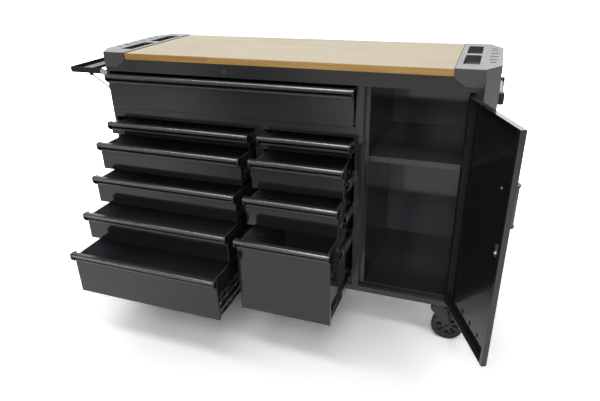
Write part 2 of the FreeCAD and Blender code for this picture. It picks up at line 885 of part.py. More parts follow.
def drawer_box(left_wall, right_wall, bottom, top, opened, heights):
    """A drawer folded from sheet, with the slide members that are fixed to its sides."""
    t = drawer_sheet
    hem = drawer_hem_thickness
    x0 = left_wall + slide_space
    x1 = right_wall - slide_space
    y0 = front - opened
    inner_front = y0 + t
    rear = y0 + drawer_length
    wall_top = top - drawer_wall_drop
    low = bottom + drawer_floor_rise
    hem_low = wall_top - drawer_hem_height
    body = box(x0, x1, inner_front, rear, low, wall_top)
    body = body.cut(box(x0 + t, x1 - t, inner_front - 1, rear - t, low + t, wall_top + 1))
    band = box(x0, x1, inner_front, rear, hem_low, wall_top)
    band = band.cut(box(x0 + hem, x1 - hem, inner_front - 1, rear - hem, hem_low - 1, wall_top + 1))
    face = drawer_front(left_wall + front_side_gap, right_wall - front_side_gap, y0, bottom,
                        top - drawer_top_step)
    pieces = [join([body, band, face])]
    for centre in heights:
        pieces.append(inner_member(left_wall, 1, centre, -opened))
        pieces.append(inner_member(right_wall, -1, centre, -opened))
    return pieces


def pull_section(height, reach):
    """The section of a pull: (out from the face, down from the top) for each corner."""
    nose = pull_nose_share * height
    bead = height - pull_bead
    inside = reach - pull_metal
    bead_out = pull_bead_depth
    return [(0, 0), (reach, 0, pull_nose_radius), (reach, nose, pull_tip_radius),
            (inside, nose, pull_tip_radius), (inside, pull_metal, pull_nose_radius - pull_metal),
            (pull_metal, pull_metal, pull_inner_radius), (pull_metal, bead, pull_inner_radius),
            (bead_out, bead, pull_bead_radius), (bead_out, height, pull_bead_radius), (0, height)]


def pull_end_section(height, reach):
    """The section of the moulded piece on each end of a pull."""
    proud = pull_end_proud
    return [(0, -proud), (reach + proud, -proud, pull_nose_radius),
            (reach + proud, pull_end_nose_share * height, pull_end_nose_radius),
            (pull_bead_depth + proud, height + proud, pull_end_foot_radius), (0, height + proud)]


def drawer_pull(left_wall, right_wall, top, opened):
    """The extruded pull along the top of a drawer front, with a moulded end piece at each end."""
    x0 = left_wall + front_side_gap - pull_end_overhang
    x1 = right_wall - front_side_gap + pull_end_overhang
    face = front - opened
    bar = [(face - out, top - down, *radius) for out, down, *radius in pull_section(pull_height, pull_depth)]
    end = [(face - out, top - down, *radius)
           for out, down, *radius in pull_end_section(pull_height, pull_depth)]
    return [prism(bar, "x", x0 + pull_end_thickness, x1 - pull_end_thickness),
            prism(end, "x", x0, x0 + pull_end_thickness),
            prism(end, "x", x1 - pull_end_thickness, x1)]


def swing_door(shape):
    """Turns a piece drawn with the door shut to where the open door holds it."""
    turned = shape.copy()
    turned.rotate(FreeCAD.Vector(hinge_x, hinge_y, 0), AXES["z"], door_open_angle)
    return turned


def door_panel():
    """The door: a folded pan whose open back has wide side lips and narrow end lips, and its hinge leaf."""
    t = door_sheet
    inner = front + door_thickness
    pan = box(door_left, door_right, front, inner, door_bottom, door_top)
    edges = [edge for edge in pan.Edges if edge.BoundBox.YMax < front + 0.01]
    pan = pan.makeFillet(door_radius, edges)
    pan = pan.cut(box(door_left + t, door_right - t, front + t, inner - t, door_bottom + t, door_top - t))
    pan = pan.cut(box(door_left + door_lip, door_right - door_lip, inner - 2 * t, inner + 1,
                      door_bottom + door_end_lip, door_top - door_end_lip))
    skin = front + t
    for from_hinge in dimple_places:
        dimple = rounded_slot("y", door_right - from_hinge, door_bottom + dimple_above_edge, dimple_width,
                              dimple_height, skin - dimple_root, skin + dimple_rise)
        pan = pan.fuse(dimple)
    x = door_left + door_lock_inset
    pan = pan.cut(rod("y", x, door_lock_height, front - 1, skin + 1, lock_barrel_radius + lock_fit))
    return [swing_door(pan), swing_door(hinge_half(door_right, 1))]


def door_pull():
    """The upright pull on the outside of the door, with its end pieces."""
    x = door_left + door_pull_inset + door_pull_height / 2
    high = door_top - door_pull_drop
    low = high - door_pull_length
    bar = [(x - down, front - out, *radius)
           for out, down, *radius in pull_section(door_pull_height, door_pull_depth)]
    end = [(x - down, front - out, *radius)
           for out, down, *radius in pull_end_section(door_pull_height, door_pull_depth)]
    pieces = [prism(bar, "z", low + pull_end_thickness, high - pull_end_thickness),
              prism(end, "z", low, low + pull_end_thickness),
              prism(end, "z", high - pull_end_thickness, high)]
    return [swing_door(piece) for piece in pieces]


def door_lock():
    """The door's key lock, with its zinc tongue behind the door skin."""
    x = door_left + door_lock_inset
    return [swing_door(piece) for piece in key_lock(x, door_lock_height, door_cam_foot, door_cam_rise)]


def tray_section():
    """The section of the side tray: an outer trough, then a flat ledge with a short lip."""
    t = tray_metal
    outer = tray_axis_x - tray_reach
    top = tray_axis_z + tray_rise
    low = top - trough_depth
    trough = outer + trough_width
    inner = trough + ledge_width
    return [(outer, top), (outer, low), (trough, low), (trough, top - t), (inner - t, top - t),
            (inner - t, top - ledge_lip), (inner, top - ledge_lip), (inner, top), (trough - t, top),
            (trough - t, low + t), (outer + t, low + t), (outer + t, top)]


def tray_arm():
    """The front end plate of the tray, which runs on as the arm to the pivot, with its stay foot."""
    outer = tray_axis_x - tray_reach
    top = tray_axis_z + tray_rise
    low = top - trough_depth - arm_below_trough
    nose = tray_axis_x + tray_arm_nose
    arm = [(outer, low, tray_corner), (nose, low, tray_arm_nose), (nose, top, tray_nose_top_radius),
           (outer, top)]
    y0 = -tray_half_length
    plate = prism(arm, "y", y0, y0 + tray_metal)
    foot_x = tray_axis_x - foot_offset
    foot_low = low - foot_drop
    foot_left = foot_x - foot_width / 2
    foot_right = foot_x + foot_width / 2
    foot = [(foot_left, foot_low, foot_corner), (foot_right, foot_low, foot_corner), (foot_right, low + 1),
            (foot_left, low + 1)]
    y1 = y0 + foot_thickness
    pivot_z = tray_axis_z - stay_pin_drop
    pin_end = y1 + stay_gap + stay_metal + stay_gap
    pin = rod("y", foot_x, pivot_z, y1 - 1, pin_end + stay_pin_head, stay_pin_radius)
    head = rod("y", foot_x, pivot_z, pin_end, pin_end + stay_pin_head, stay_pin_head_radius)
    whole = join([plate, prism(foot, "y", y0, y1), pin, head])
    hole_radius = tray_pin_radius + tray_pin_gap
    return whole.cut(rod("y", tray_axis_x, tray_axis_z, y0 - 1, y0 + tray_metal + 1, hole_radius))


def side_tray():
    """The tray that folds down at the left: pressed trough and ledge between two end plates."""
    inside = tray_half_length - tray_metal
    pan = prism(tray_section(), "y", -inside, inside)
    front_arm = tray_arm()
    return [join([pan, front_arm, mirror_y(front_arm)])]


def tray_stays():
    """The two flat bars that hold the tray up, each on the pin in the tray's foot."""
    x = tray_axis_x - foot_offset
    z = tray_axis_z - stay_pin_drop
    length = math.hypot(stay_drop_x, stay_drop_z)
    y0 = -tray_half_length + foot_thickness + stay_gap
    y1 = y0 + stay_metal
    bar = join([box(x, x + length, y0, y1, z - stay_width / 2, z + stay_width / 2),
                rod("y", x, z, y0, y1, stay_eye_radius),
                rod("y", x + length, z, y0, y1, stay_eye_radius)])
    bar = bar.cut(rod("y", x, z, y0 - 1, y1 + 1, stay_pin_radius + tray_pin_gap))
    bar = bar.cut(rod("y", x + length, z, y0 - 1, y1 + 1, stay_pin_radius))
    bar.rotate(FreeCAD.Vector(x, 0, z), AXES["y"], math.degrees(math.atan2(stay_drop_z, stay_drop_x)))
    return [bar, mirror_y(bar)]


def tray_bracket():
    """The front angle bracket that carries the tray's pivot pin, and the angle lug beside the stay's end."""
    wall = -half_case
    y_tab = -tray_half_length - bracket_gap - bracket_metal
    low = tray_axis_z - bracket_height / 2 - bracket_drop
    high = low + bracket_height
    left = wall - bracket_reach
    tab = [(left, low, bracket_corner), (wall, low), (wall, high), (left, high, bracket_corner)]
    plate = prism(tab, "y", y_tab, y_tab + bracket_metal)
    flange = box(wall - bracket_metal, wall, y_tab, y_tab + bracket_wrap, low, high)
    pin_end = -tray_half_length + tray_metal + tray_pin_head
    pin = rod("y", tray_axis_x, tray_axis_z, y_tab - tray_pin_head, pin_end, tray_pin_radius)
    head = rod("y", tray_axis_x, tray_axis_z, y_tab - tray_pin_head, y_tab, tray_pin_head_radius)
    bracket = join([plate, flange, pin, head])
    stay_z = tray_axis_z - stay_pin_drop - stay_drop_z
    stay_inner = -tray_half_length + foot_thickness + 2 * stay_gap + stay_metal
    ear_y = stay_inner + stay_pin_head + stay_lug_clearance
    lug_low = stay_z - stay_lug_width / 2
    lug_high = stay_z + stay_lug_width / 2
    ear = box(wall - stay_lug_reach, wall, ear_y, ear_y + stay_lug_metal, lug_low, lug_high)
    lug_flange = box(wall - stay_lug_metal, wall, ear_y, ear_y + stay_lug_depth, lug_low, lug_high)
    return [bracket, join([ear, lug_flange])]


def tray_brackets():
    pieces = tray_bracket()
    return pieces + [mirror_y(piece) for piece in pieces]


def push_handle_brackets():
    """The two moulded brackets on the right side that hold the push bar."""
    z = work_height - handle_bar_drop
    half = handle_bracket_height / 2
    reach = half_case + handle_bracket_reach
    profile = [(half_case, z - half), (reach, z - half, handle_bracket_radius),
               (reach, z + half, handle_bracket_radius), (half_case, z + half)]
    outer = -handle_bracket_outer
    inner = outer + handle_bracket_width
    bracket = prism(profile, "y", outer, inner)
    seat = rod("y", handle_bar_x, z, inner - handle_bar_seat, inner + 1, handle_bar_radius + handle_bar_fit)
    bracket = bracket.cut(seat)
    return [bracket, mirror_y(bracket)]


def push_handle_bar():
    """The round bar between the brackets."""
    end = handle_bracket_outer - handle_bracket_width + handle_bar_seat
    return [rod("y", handle_bar_x, work_height - handle_bar_drop, -end, end, handle_bar_radius)]


def wheel(x, y):
    """A tyre and a moulded wheel body with pockets between its spokes, on a plain hub."""
    z = wheel_radius
    half = wheel_width / 2
    tyre = rod("y", x, z, y - half, y + half, wheel_radius)
    rims = [edge for edge in tyre.Edges
            if edge.Length > wheel_radius and edge.Curve.TypeId == "Part::GeomCircle"]
    tyre = tyre.makeFillet(tyre_crown, rims)
    tyre = tyre.cut(rod("y", x, z, y - half - 1, y + half + 1, tyre_inner_radius))
    rim_inner = tyre_inner_radius - rim_thickness
    rim = ring("y", x, z, y - half + rim_inset, y + half - rim_inset, tyre_inner_radius, rim_inner)
    web = rod("y", x, z, y - web_thickness / 2, y + web_thickness / 2, rim_inner + 1)
    hub = rod("y", x, z, y - half, y + half, hub_radius)
    body = join([rim, web, hub])
    floor = wheel_pocket_floor / 2
    for index in range(wheel_pockets):
        for start, end in ((y - half, y - floor), (y + floor, y + half)):
            pocket = rounded_slot("y", x + wheel_pocket_mid_radius, z, wheel_pocket_length,
                                  wheel_pocket_width, start, end)
            pocket.rotate(FreeCAD.Vector(x, y, z), AXES["y"], index * 360.0 / wheel_pockets)
            body = body.cut(pocket)
    body = body.cut(rod("y", x, z, y - half - 1, y + half + 1, axle_radius + axle_gap))
    return [tyre, body]


def hex_nut(x, y0, y1):
    """A six-sided nut or bolt head on the axle."""
    corners = []
    for index in range(6):
        angle = index * math.pi / 3
        corners.append((x + nut_radius * math.cos(angle), wheel_radius + nut_radius * math.sin(angle)))
    return prism(corners, "y", y0, y1)


def fork_legs(top_left, top_right, axle_x, y, top):
    """Two tapering side plates down to the axle, joined by a top plate."""
    inner = wheel_width / 2 + wheel_side_gap
    outer = inner + fork_metal
    half_end = fork_boss_radius * fork_taper_share
    end_z = wheel_radius + fork_taper_rise
    corners = [(top_left, top), (top_left, top - fork_shoulder), (axle_x - half_end, end_z),
               (axle_x, wheel_radius), (axle_x + half_end, end_z), (top_right, top - fork_shoulder),
               (top_right, top)]
    pieces = [box(top_left, top_right, y - outer, y + outer, top - fork_metal, top)]
    for side in (-1, 1):
        edges = sorted((y + side * inner, y + side * outer))
        pieces.append(prism(corners, "y", edges[0], edges[1]))
        pieces.append(rod("y", axle_x, wheel_radius, edges[0], edges[1], fork_boss_radius))
    axle_hole = rod("y", axle_x, wheel_radius, y - outer - 1, y + outer + 1, axle_radius)
    return [piece.cut(axle_hole) for piece in pieces]


def axle_bolt(x, y):
    """The axle, with a head at the front and a nut at the back."""
    outer = wheel_width / 2 + wheel_side_gap + fork_metal
    shaft = rod("y", x, wheel_radius, y - outer, y + outer, axle_radius)
    bolt_head = hex_nut(x, y - outer - nut_thickness, y - outer)
    nut = hex_nut(x, y + outer, y + outer + nut_thickness)
    return join([shaft, bolt_head, nut])


def caster_plate_at(x, y):
    """The mounting plate under the case with its four bolt heads."""
    half_x = caster_plate_width / 2
    half_y = caster_plate_depth / 2
    under = case_bottom - caster_plate
    corners = [(x - half_x, y - half_y, caster_plate_corner), (x + half_x, y - half_y, caster_plate_corner),
               (x + half_x, y + half_y, caster_plate_corner), (x - half_x, y + half_y, caster_plate_corner)]
    pieces = [prism(corners, "z", under, case_bottom)]
    bolt_x = half_x - caster_bolt_inset
    bolt_y = half_y - caster_bolt_inset
    for dx in (-bolt_x, bolt_x):
        for dy in (-bolt_y, bolt_y):
            pieces.append(rod("z", x + dx, y + dy, under - caster_bolt_head, under, caster_bolt_radius))
    return pieces


def rigid_caster_forks():
    """The fixed forks at the left, with their plates and axles."""
    pieces = []
    plate_under = case_bottom - caster_plate
    for y in (-caster_y, caster_y):
        x = -caster_x
        legs = fork_legs(x - fork_top_half, x + fork_top_half, x, y, plate_under)
        pieces.append(join(caster_plate_at(x, y) + legs))
        pieces.append(axle_bolt(x, y))
    return pieces


def swivel_caster_plates():
    """The plates of the swivelling casters, each with its upper race and king pin."""
    pieces = []
    plate_under = case_bottom - caster_plate
    race_low = plate_under - race_height
    low = fork_crown_height - fork_metal - kingpin_head - race_gap
    for y in (-caster_y, caster_y):
        race = rod("z", caster_x, y, race_low, plate_under, race_radius)
        pin = rod("z", caster_x, y, low, race_low, kingpin_radius)
        head = rod("z", caster_x, y, low, low + kingpin_head, kingpin_head_radius)
        pieces.append(join(caster_plate_at(caster_x, y) + [race, pin, head]))
    return pieces


def swivel_fork(y):
    """A swivelling fork with its lower race and axle, trailing to the right."""
    axle_x = caster_x + caster_trail
    top_right = caster_x + fork_top_half + fork_top_extra
    legs = fork_legs(caster_x - fork_top_half, top_right, axle_x, y, fork_crown_height)
    race_top = case_bottom - caster_plate - race_height - race_gap
    race = rod("z", caster_x, y, fork_crown_height, race_top, race_radius)
    fork = join(legs + [race])
    low = fork_crown_height - fork_metal
    fork = fork.cut(rod("z", caster_x, y, low - 1, race_top + 1, kingpin_radius + kingpin_gap))
    return [fork, axle_bolt(axle_x, y)]


def export(name, pieces):
    """Writes one sub-part; pieces that belong together but are separate stay separate solids."""
    shape = pieces[0] if len(pieces) == 1 else Part.makeCompound(pieces)
    shape.exportStep("parts/" + name + ".step")
    print(name, len(shape.Solids), "solids", "valid" if shape.isValid() else "NOT VALID")


def main():
    os.makedirs("parts", exist_ok=True)
    for make in (side_panels, back_panel, bottom_panel, front_rails, column_divider, cupboard_partition,
                 door_jambs, cupboard_shelf, worktop, end_cap_left, end_cap_right, drawer_lock, badge_plate,
                 outer_slide_members, push_handle_bar, push_handle_brackets, tray_brackets,
                 rigid_caster_forks, swivel_caster_plates, door_panel, door_pull, door_lock, side_tray,
                 tray_stays):
        export(make.__name__, make())
    for number, left_wall, right_wall, bottom, top, opened, heights in drawers:
        name = "drawer_" + number
        export(name + "_box", drawer_box(left_wall, right_wall, bottom, top, opened, heights))
        export(name + "_pull", drawer_pull(left_wall, right_wall, top, opened))
        export(name + "_slide_middle", drawer_slide_middle(left_wall, right_wall, opened, heights))
    for place, y in (("front", -caster_y), ("rear", caster_y)):
        export("swivel_fork_" + place, swivel_fork(y))
        export("wheel_right_" + place, wheel(caster_x + caster_trail, y))
        export("wheel_left_" + place, wheel(-caster_x, y))


if __name__ == "__main__":
    main()
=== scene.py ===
"""The finished looks of the rolling tool cabinet, with its small fasteners and the studio around it."""
import json
import math

import bmesh
import bpy
from mathutils import Matrix, Vector


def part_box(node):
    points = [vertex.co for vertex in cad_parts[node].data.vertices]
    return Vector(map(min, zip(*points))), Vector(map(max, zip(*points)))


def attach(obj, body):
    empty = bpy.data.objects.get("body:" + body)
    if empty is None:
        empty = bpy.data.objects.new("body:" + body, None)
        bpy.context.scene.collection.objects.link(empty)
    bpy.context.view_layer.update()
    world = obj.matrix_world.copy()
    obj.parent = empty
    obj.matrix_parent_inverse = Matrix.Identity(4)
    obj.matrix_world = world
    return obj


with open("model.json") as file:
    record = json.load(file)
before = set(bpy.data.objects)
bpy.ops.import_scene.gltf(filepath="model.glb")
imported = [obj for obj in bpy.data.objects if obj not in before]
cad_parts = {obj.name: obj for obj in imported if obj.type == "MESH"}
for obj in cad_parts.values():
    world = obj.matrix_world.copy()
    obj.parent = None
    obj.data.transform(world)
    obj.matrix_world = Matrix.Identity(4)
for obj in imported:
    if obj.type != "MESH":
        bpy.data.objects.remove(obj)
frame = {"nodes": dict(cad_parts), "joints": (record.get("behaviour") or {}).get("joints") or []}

bl_info = {
    "name": "Rolling tool cabinet",
    "version": (1, 0, 0),
    "blender": (4, 5, 0),
    "location": "3D View > Sidebar > Tool Cabinet",
    "description": "Finishes the packed tool cabinet, adds its fasteners and sets up the studio",
    "category": "Object",
}

# The camera: its place in metres, its turns in radians and its lens in millimetres.
CAMERA_PLACE = (0.6817, -1.8381, 1.3306)
CAMERA_YAW = -0.3541
CAMERA_PITCH = -0.4466
CAMERA_ROLL = -0.0226
CAMERA_LENS = 31.207

DRAWERS = ["%02d" % number for number in range(1, 11)]

# Measures in metres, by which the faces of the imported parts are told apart.
FRONT_DEPTH = 0.013     # a drawer's folded front
SLIDE_DEPTH = 0.00995   # a drawer's slide members, from its outer side
SIDE_DEPTH = 0.0111     # the inner face of a drawer's side, from its outer side
SHEET = 0.0011          # the drawers' sheet metal
FLOOR_HEIGHT = 0.0071   # a drawer's floor over its lower edge
PULL_END = 0.00602      # the plastic piece at each end of a pull
PULL_LIP = 0.0022       # the lip before and over a pull's finger groove
BEAD_TOP = 0.0078       # the top of the bead along a pull's lower edge
NOSE_DEPTH = 0.0058     # how far back the painted highlight on a pull's nose reaches
NOSE_TOP = 0.0014       # where that highlight starts, under the pull's upper side
NOSE_BOTTOM = 0.0062    # where it ends
DOOR_INSET = 0.0028     # the door's edge, from the axis of its hinge
LEAF_REACH = 0.0027     # the hinge's leaf and knuckles, from that axis
DOOR_SKIN = 0.0027      # the inner face of the door's sheet, behind that axis
DOOR_HOLES = (0.119, 0.18, 0.239)   # the middles of the three oval holes, painted dark as shade, from the door's edge
HOLE_HEIGHT = 0.24      # their middles over the floor
FIXED_LEAF = 0.0045     # the hinge's fixed leaf, from the right-hand jamb's foremost face
RIGHT_JAMB = 0.6        # the right-hand jamb lies past this place
LOW_RAIL_TOP = 0.25     # the bottom front rail lies under this height
BACK_HEADS = 0.0045     # the screw heads on the back, from its outermost face
BACK_HALF = 0.66        # the back's flat part, from the cabinet's middle
SHELF_CLIPS = 0.022     # the shelf's clips, under its upper face
WHEEL_RIM = 0.0448      # a wheel's radius where its tyre starts
POCKET_INNER = 0.0185   # where a wheel's pockets start
POCKET_OUTER = 0.0385   # where they end
POCKET_FLOOR = 0.0068   # their floors, from the wheel's middle plane

# How deep a fastener's foot stands in the surface that carries it, in metres.
FOOT = 0.0002


# Small helpers for node trees

def add(tree, kind, inputs=None, **settings):
    """Adds a node, sets its options and fills its inputs with values or links."""
    node = tree.nodes.new(kind)
    for key, value in settings.items():
        setattr(node, key, value)
    for key, value in (inputs or {}).items():
        if isinstance(value, bpy.types.NodeSocket):
            tree.links.new(value, node.inputs[key])
        else:
            node.inputs[key].default_value = value
    return node


def maths(tree, operation, first, second=0.0):
    return add(tree, "ShaderNodeMath", {0: first, 1: second}, operation=operation).outputs[0]


def blend_colours(tree, mask, low, high):
    """The colour low where the mask is 0, high where it is 1."""
    low, high = (end if isinstance(end, bpy.types.NodeSocket) else (*end, 1.0) for end in (low, high))
    return add(tree, "ShaderNodeMix", {"Factor": mask, 6: low, 7: high}, data_type="RGBA").outputs[2]


def spread(tree, value, from_low, from_high, to_low=0.0, to_high=1.0):
    """The value, spread from one range over another and held within it."""
    node = add(tree, "ShaderNodeMapRange", {"Value": value, "From Min": from_low, "From Max": from_high,
                                            "To Min": to_low, "To Max": to_high})
    return node.outputs[0]


def rest_place(tree):
    return add(tree, "ShaderNodeTexCoord").outputs["Object"]


def stretched(tree, place, scale):
    return add(tree, "ShaderNodeMapping", {"Vector": place, "Scale": scale}).outputs[0]


def noise(tree, place, scale, detail=3.0, roughness=0.5):
    node = add(tree, "ShaderNodeTexNoise", {"Vector": place, "Scale": scale, "Detail": detail,
                                            "Roughness": roughness})
    return node.outputs["Fac"]


def facing_up(tree, from_low, from_high):
    """Grows from 0 to 1 as a face turns from upright to level, between two values of its slope."""
    normal = add(tree, "ShaderNodeNewGeometry").outputs["Normal"]
    upward = add(tree, "ShaderNodeSeparateXYZ", {"Vector": normal}).outputs["Z"]
    return spread(tree, upward, from_low, from_high)


# Effects that several materials share

def new_group(name, inputs, outputs):
    tree = bpy.data.node_groups.new(name, "ShaderNodeTree")
    for title, default in inputs:
        socket = tree.interface.new_socket(title, in_out="INPUT", socket_type="NodeSocketFloat")
        socket.default_value = default
    for title in outputs:
        tree.interface.new_socket(title, in_out="OUTPUT", socket_type="NodeSocketFloat")
    return tree, tree.nodes.new("NodeGroupInput"), tree.nodes.new("NodeGroupOutput")


def make_paint_skin():
    """The soft ripple and fine grit in the surface of powder paint or moulded plastic."""
    tree, given, result = new_group("Surface skin", (("Ripple size", 250.0), ("Grit size", 1500.0),
                                                     ("Grit share", 0.3)), ("Height",))
    place = rest_place(tree)
    ripple = noise(tree, place, given.outputs["Ripple size"], 2.0)
    grit = noise(tree, place, given.outputs["Grit size"], 2.0)
    mixed = add(tree, "ShaderNodeMix", {"Factor": given.outputs["Grit share"], "A": ripple, "B": grit})
    tree.links.new(mixed.outputs[0], result.inputs["Height"])


def make_handling_marks():
    """Broad, soft changes of gloss with a few faint wipe streaks."""
    tree, given, result = new_group("Handling marks", (("Size", 6.0), ("Glossiest", 0.2), ("Dullest", 0.35)),
                                    ("Roughness",))
    place = rest_place(tree)
    broad = noise(tree, place, given.outputs["Size"], 4.0, 0.6)
    streaks = noise(tree, stretched(tree, place, (4.0, 4.0, 40.0)), 3.0, 3.0)
    both = maths(tree, "ADD", maths(tree, "MULTIPLY", broad, 0.75), maths(tree, "MULTIPLY", streaks, 0.25))
    gloss = spread(tree, both, 0.35, 0.65, given.outputs["Glossiest"], given.outputs["Dullest"])
    tree.links.new(gloss, result.inputs["Roughness"])


def make_settled_dust():
    """Where a thin film of dust lies: on faces that look up, thinly and in patches."""
    tree, given, result = new_group("Settled dust", (("Amount", 0.3), ("Patch size", 12.0)), ("Mask",))
    lying = facing_up(tree, 0.5, 1.0)
    patches = noise(tree, rest_place(tree), given.outputs["Patch size"], 5.0, 0.65)
    thin = maths(tree, "MULTIPLY", lying, spread(tree, patches, 0.3, 0.8, 0.2, 1.0))
    tree.links.new(maths(tree, "MULTIPLY", thin, given.outputs["Amount"]), result.inputs["Mask"])


def make_painted_edge_highlights():
    """A mask for a painted highlight along sharp edges: strong at the edge, fading over the given width,
    broken up by noise.
    """
    tree, given, result = new_group("Painted edge highlights", (("Width", 0.001), ("Strength", 0.5)), ("Mask",))
    rounded = add(tree, "ShaderNodeBevel", {"Radius": given.outputs["Width"]}, samples=4)
    flat = add(tree, "ShaderNodeNewGeometry")
    agree = add(tree, "ShaderNodeVectorMath", {0: rounded.outputs[0], 1: flat.outputs["Normal"]},
                operation="DOT_PRODUCT")
    turn = spread(tree, agree.outputs["Value"], 1.0, 0.9)
    broken = spread(tree, noise(tree, rest_place(tree), 90.0, 4.0, 0.7), 0.4, 0.6, 0.4, 1.0)
    highlight_mask = maths(tree, "MULTIPLY", maths(tree, "MULTIPLY", turn, broken), given.outputs["Strength"])
    tree.links.new(highlight_mask, result.inputs["Mask"])


def use_group(tree, name, **inputs):
    node = tree.nodes.new("ShaderNodeGroup")
    node.node_tree = bpy.data.node_groups[name]
    for title, value in inputs.items():
        node.inputs[title.replace("_", " ")].default_value = value
    return node.outputs[0]


# Materials

def new_material(name, **values):
    """Makes a material, sets values straight on its shader's sockets, and gives its tree and shader."""
    material = bpy.data.materials.new(name)
    material.use_nodes = True
    tree = material.node_tree
    shader = tree.nodes["Principled BSDF"]
    for title, value in values.items():
        shader.inputs[title.replace("_", " ")].default_value = value
    return tree, shader


def raise_surface(tree, shader, height, strength, distance):
    bump = add(tree, "ShaderNodeBump", {"Height": height, "Strength": strength, "Distance": distance})
    tree.links.new(bump.outputs[0], shader.inputs["Normal"])


def make_paint(name, colour, gloss, ripple=0.1, dust=0.06, edge_light=0.2, specular=0.5):
    """Powder paint: a little ripple, uneven gloss, thin dust and a painted highlight that makes the edges
    slightly paler.
    """
    tree, shader = new_material(name, Specular_IOR_Level=specular)
    dusty = use_group(tree, "Settled dust", Amount=dust, Patch_size=14.0)
    edges = use_group(tree, "Painted edge highlights", Width=0.0012, Strength=edge_light)
    # Painted highlight: the edges are blended towards this paler colour.
    pale = [0.6 * part + 0.05 for part in colour]
    painted = blend_colours(tree, edges, colour, pale)
    tree.links.new(blend_colours(tree, dusty, painted, (0.16, 0.155, 0.15)), shader.inputs["Base Color"])
    low, high = gloss
    marks = use_group(tree, "Handling marks", Size=5.0, Glossiest=low, Dullest=high)
    tree.links.new(maths(tree, "ADD", marks, maths(tree, "MULTIPLY", dusty, 0.4)), shader.inputs["Roughness"])
    skin = use_group(tree, "Surface skin", Ripple_size=320.0, Grit_size=1800.0, Grit_share=0.25)
    raise_surface(tree, shader, skin, ripple, 0.0004)


def make_plastic(name, colour, gloss, grain=0.3, grain_size=900.0, dust=0.2, specular=0.45):
    """Moulded plastic with a fine grain."""
    tree, shader = new_material(name, Specular_IOR_Level=specular)
    dusty = use_group(tree, "Settled dust", Amount=dust, Patch_size=18.0)
    mottle = spread(tree, noise(tree, rest_place(tree), 35.0, 4.0, 0.6), 0.3, 0.7)
    moulded = blend_colours(tree, mottle, [0.86 * part for part in colour], colour)
    tree.links.new(blend_colours(tree, dusty, moulded, (0.3, 0.3, 0.29)), shader.inputs["Base Color"])
    low, high = gloss
    tree.links.new(use_group(tree, "Handling marks", Size=9.0, Glossiest=low, Dullest=high),
                   shader.inputs["Roughness"])
    skin = use_group(tree, "Surface skin", Ripple_size=grain_size, Grit_size=grain_size * 2.5, Grit_share=0.4)
    raise_surface(tree, shader, skin, grain, 0.0003)


def make_metal(name, colour, gloss, brushed=(1.0, 1.0, 1.0), marks=0.15, metallic=1.0, specular=0.5):
    """Plated or bare metal with fine drawn lines and a slightly cloudy plating."""
    tree, shader = new_material(name, Metallic=metallic, Specular_IOR_Level=specular)
    clouds = spread(tree, noise(tree, rest_place(tree), 60.0, 4.0, 0.6), 0.3, 0.7)
    dull = [0.75 * part for part in colour]
    tree.links.new(blend_colours(tree, clouds, dull, colour), shader.inputs["Base Color"])
    low, high = gloss
    tree.links.new(use_group(tree, "Handling marks", Size=25.0, Glossiest=low, Dullest=high),
                   shader.inputs["Roughness"])
    lines = noise(tree, stretched(tree, rest_place(tree), brushed), 900.0, 3.0)
    raise_surface(tree, shader, lines, marks, 0.0002)


def make_rubber(name, colour):
    """Tyre rubber: dull, with moulding grain and dust in the tread."""
    tree, shader = new_material(name, Specular_IOR_Level=0.3)
    patches = noise(tree, rest_place(tree), 40.0, 5.0, 0.7)
    scuffed = spread(tree, patches, 0.35, 0.75)
    tree.links.new(blend_colours(tree, scuffed, colour, (0.06, 0.058, 0.055)), shader.inputs["Base Color"])
    tree.links.new(use_group(tree, "Handling marks", Size=20.0, Glossiest=0.45, Dullest=0.7),
                   shader.inputs["Roughness"])
    skin = use_group(tree, "Surface skin", Ripple_size=500.0, Grit_size=2200.0, Grit_share=0.5)
    raise_surface(tree, shader, skin, 0.5, 0.0003)


def make_wood(name, light, dark, edge_light, edge_dark, staves):
    """Lacquered solid wood glued up from staves that run along the top; its edges show a deeper, warmer tone
    than the top, partly the wood's own tone and partly a painted sheen that pales the top.
    """
    tree, shader = new_material(name, Specular_IOR_Level=0.2)
    place = rest_place(tree)
    along, across, deep = add(tree, "ShaderNodeSeparateXYZ", {"Vector": place}).outputs
    row = maths(tree, "FLOOR", maths(tree, "MULTIPLY", across, 1.0 / staves))
    shifted = maths(tree, "ADD", along, maths(tree, "MULTIPLY", row, 7.31))
    stave = add(tree, "ShaderNodeCombineXYZ", {"X": maths(tree, "MULTIPLY", shifted, 1.6), "Y": row})
    cells = add(tree, "ShaderNodeTexVoronoi", {"Vector": stave.outputs[0], "Scale": 1.0, "Randomness": 0.8},
                feature="F1")
    tone = add(tree, "ShaderNodeSeparateXYZ", {"Vector": cells.outputs["Color"]}).outputs["X"]
    drawn = add(tree, "ShaderNodeCombineXYZ", {"X": maths(tree, "MULTIPLY", shifted, 2.0),
                                               "Y": maths(tree, "MULTIPLY", across, 55.0),
                                               "Z": maths(tree, "MULTIPLY", deep, 55.0)})
    grain = noise(tree, drawn.outputs[0], 2.2, 6.0, 0.62)
    fibre = noise(tree, stretched(tree, place, (14.0, 700.0, 700.0)), 1.0, 3.0, 0.6)
    shade = maths(tree, "ADD", maths(tree, "MULTIPLY", spread(tree, grain, 0.3, 0.7), 0.6),
                  maths(tree, "MULTIPLY", tone, 0.4))
    shade = maths(tree, "ADD", shade, maths(tree, "MULTIPLY", maths(tree, "SUBTRACT", fibre, 0.5), 0.25))
    shade = spread(tree, shade, 0.15, 0.9)
    # The top is painted paler and greyer than the edges: partly the wood's tone, partly painted sheen.
    face = blend_colours(tree, shade, dark, light)
    side = blend_colours(tree, shade, edge_dark, edge_light)
    tree.links.new(blend_colours(tree, facing_up(tree, 0.3, 0.9), side, face), shader.inputs["Base Color"])
    tree.links.new(use_group(tree, "Handling marks", Size=4.0, Glossiest=0.5, Dullest=0.62),
                   shader.inputs["Roughness"])
    raise_surface(tree, shader, fibre, 0.08, 0.0002)


# What a user may change

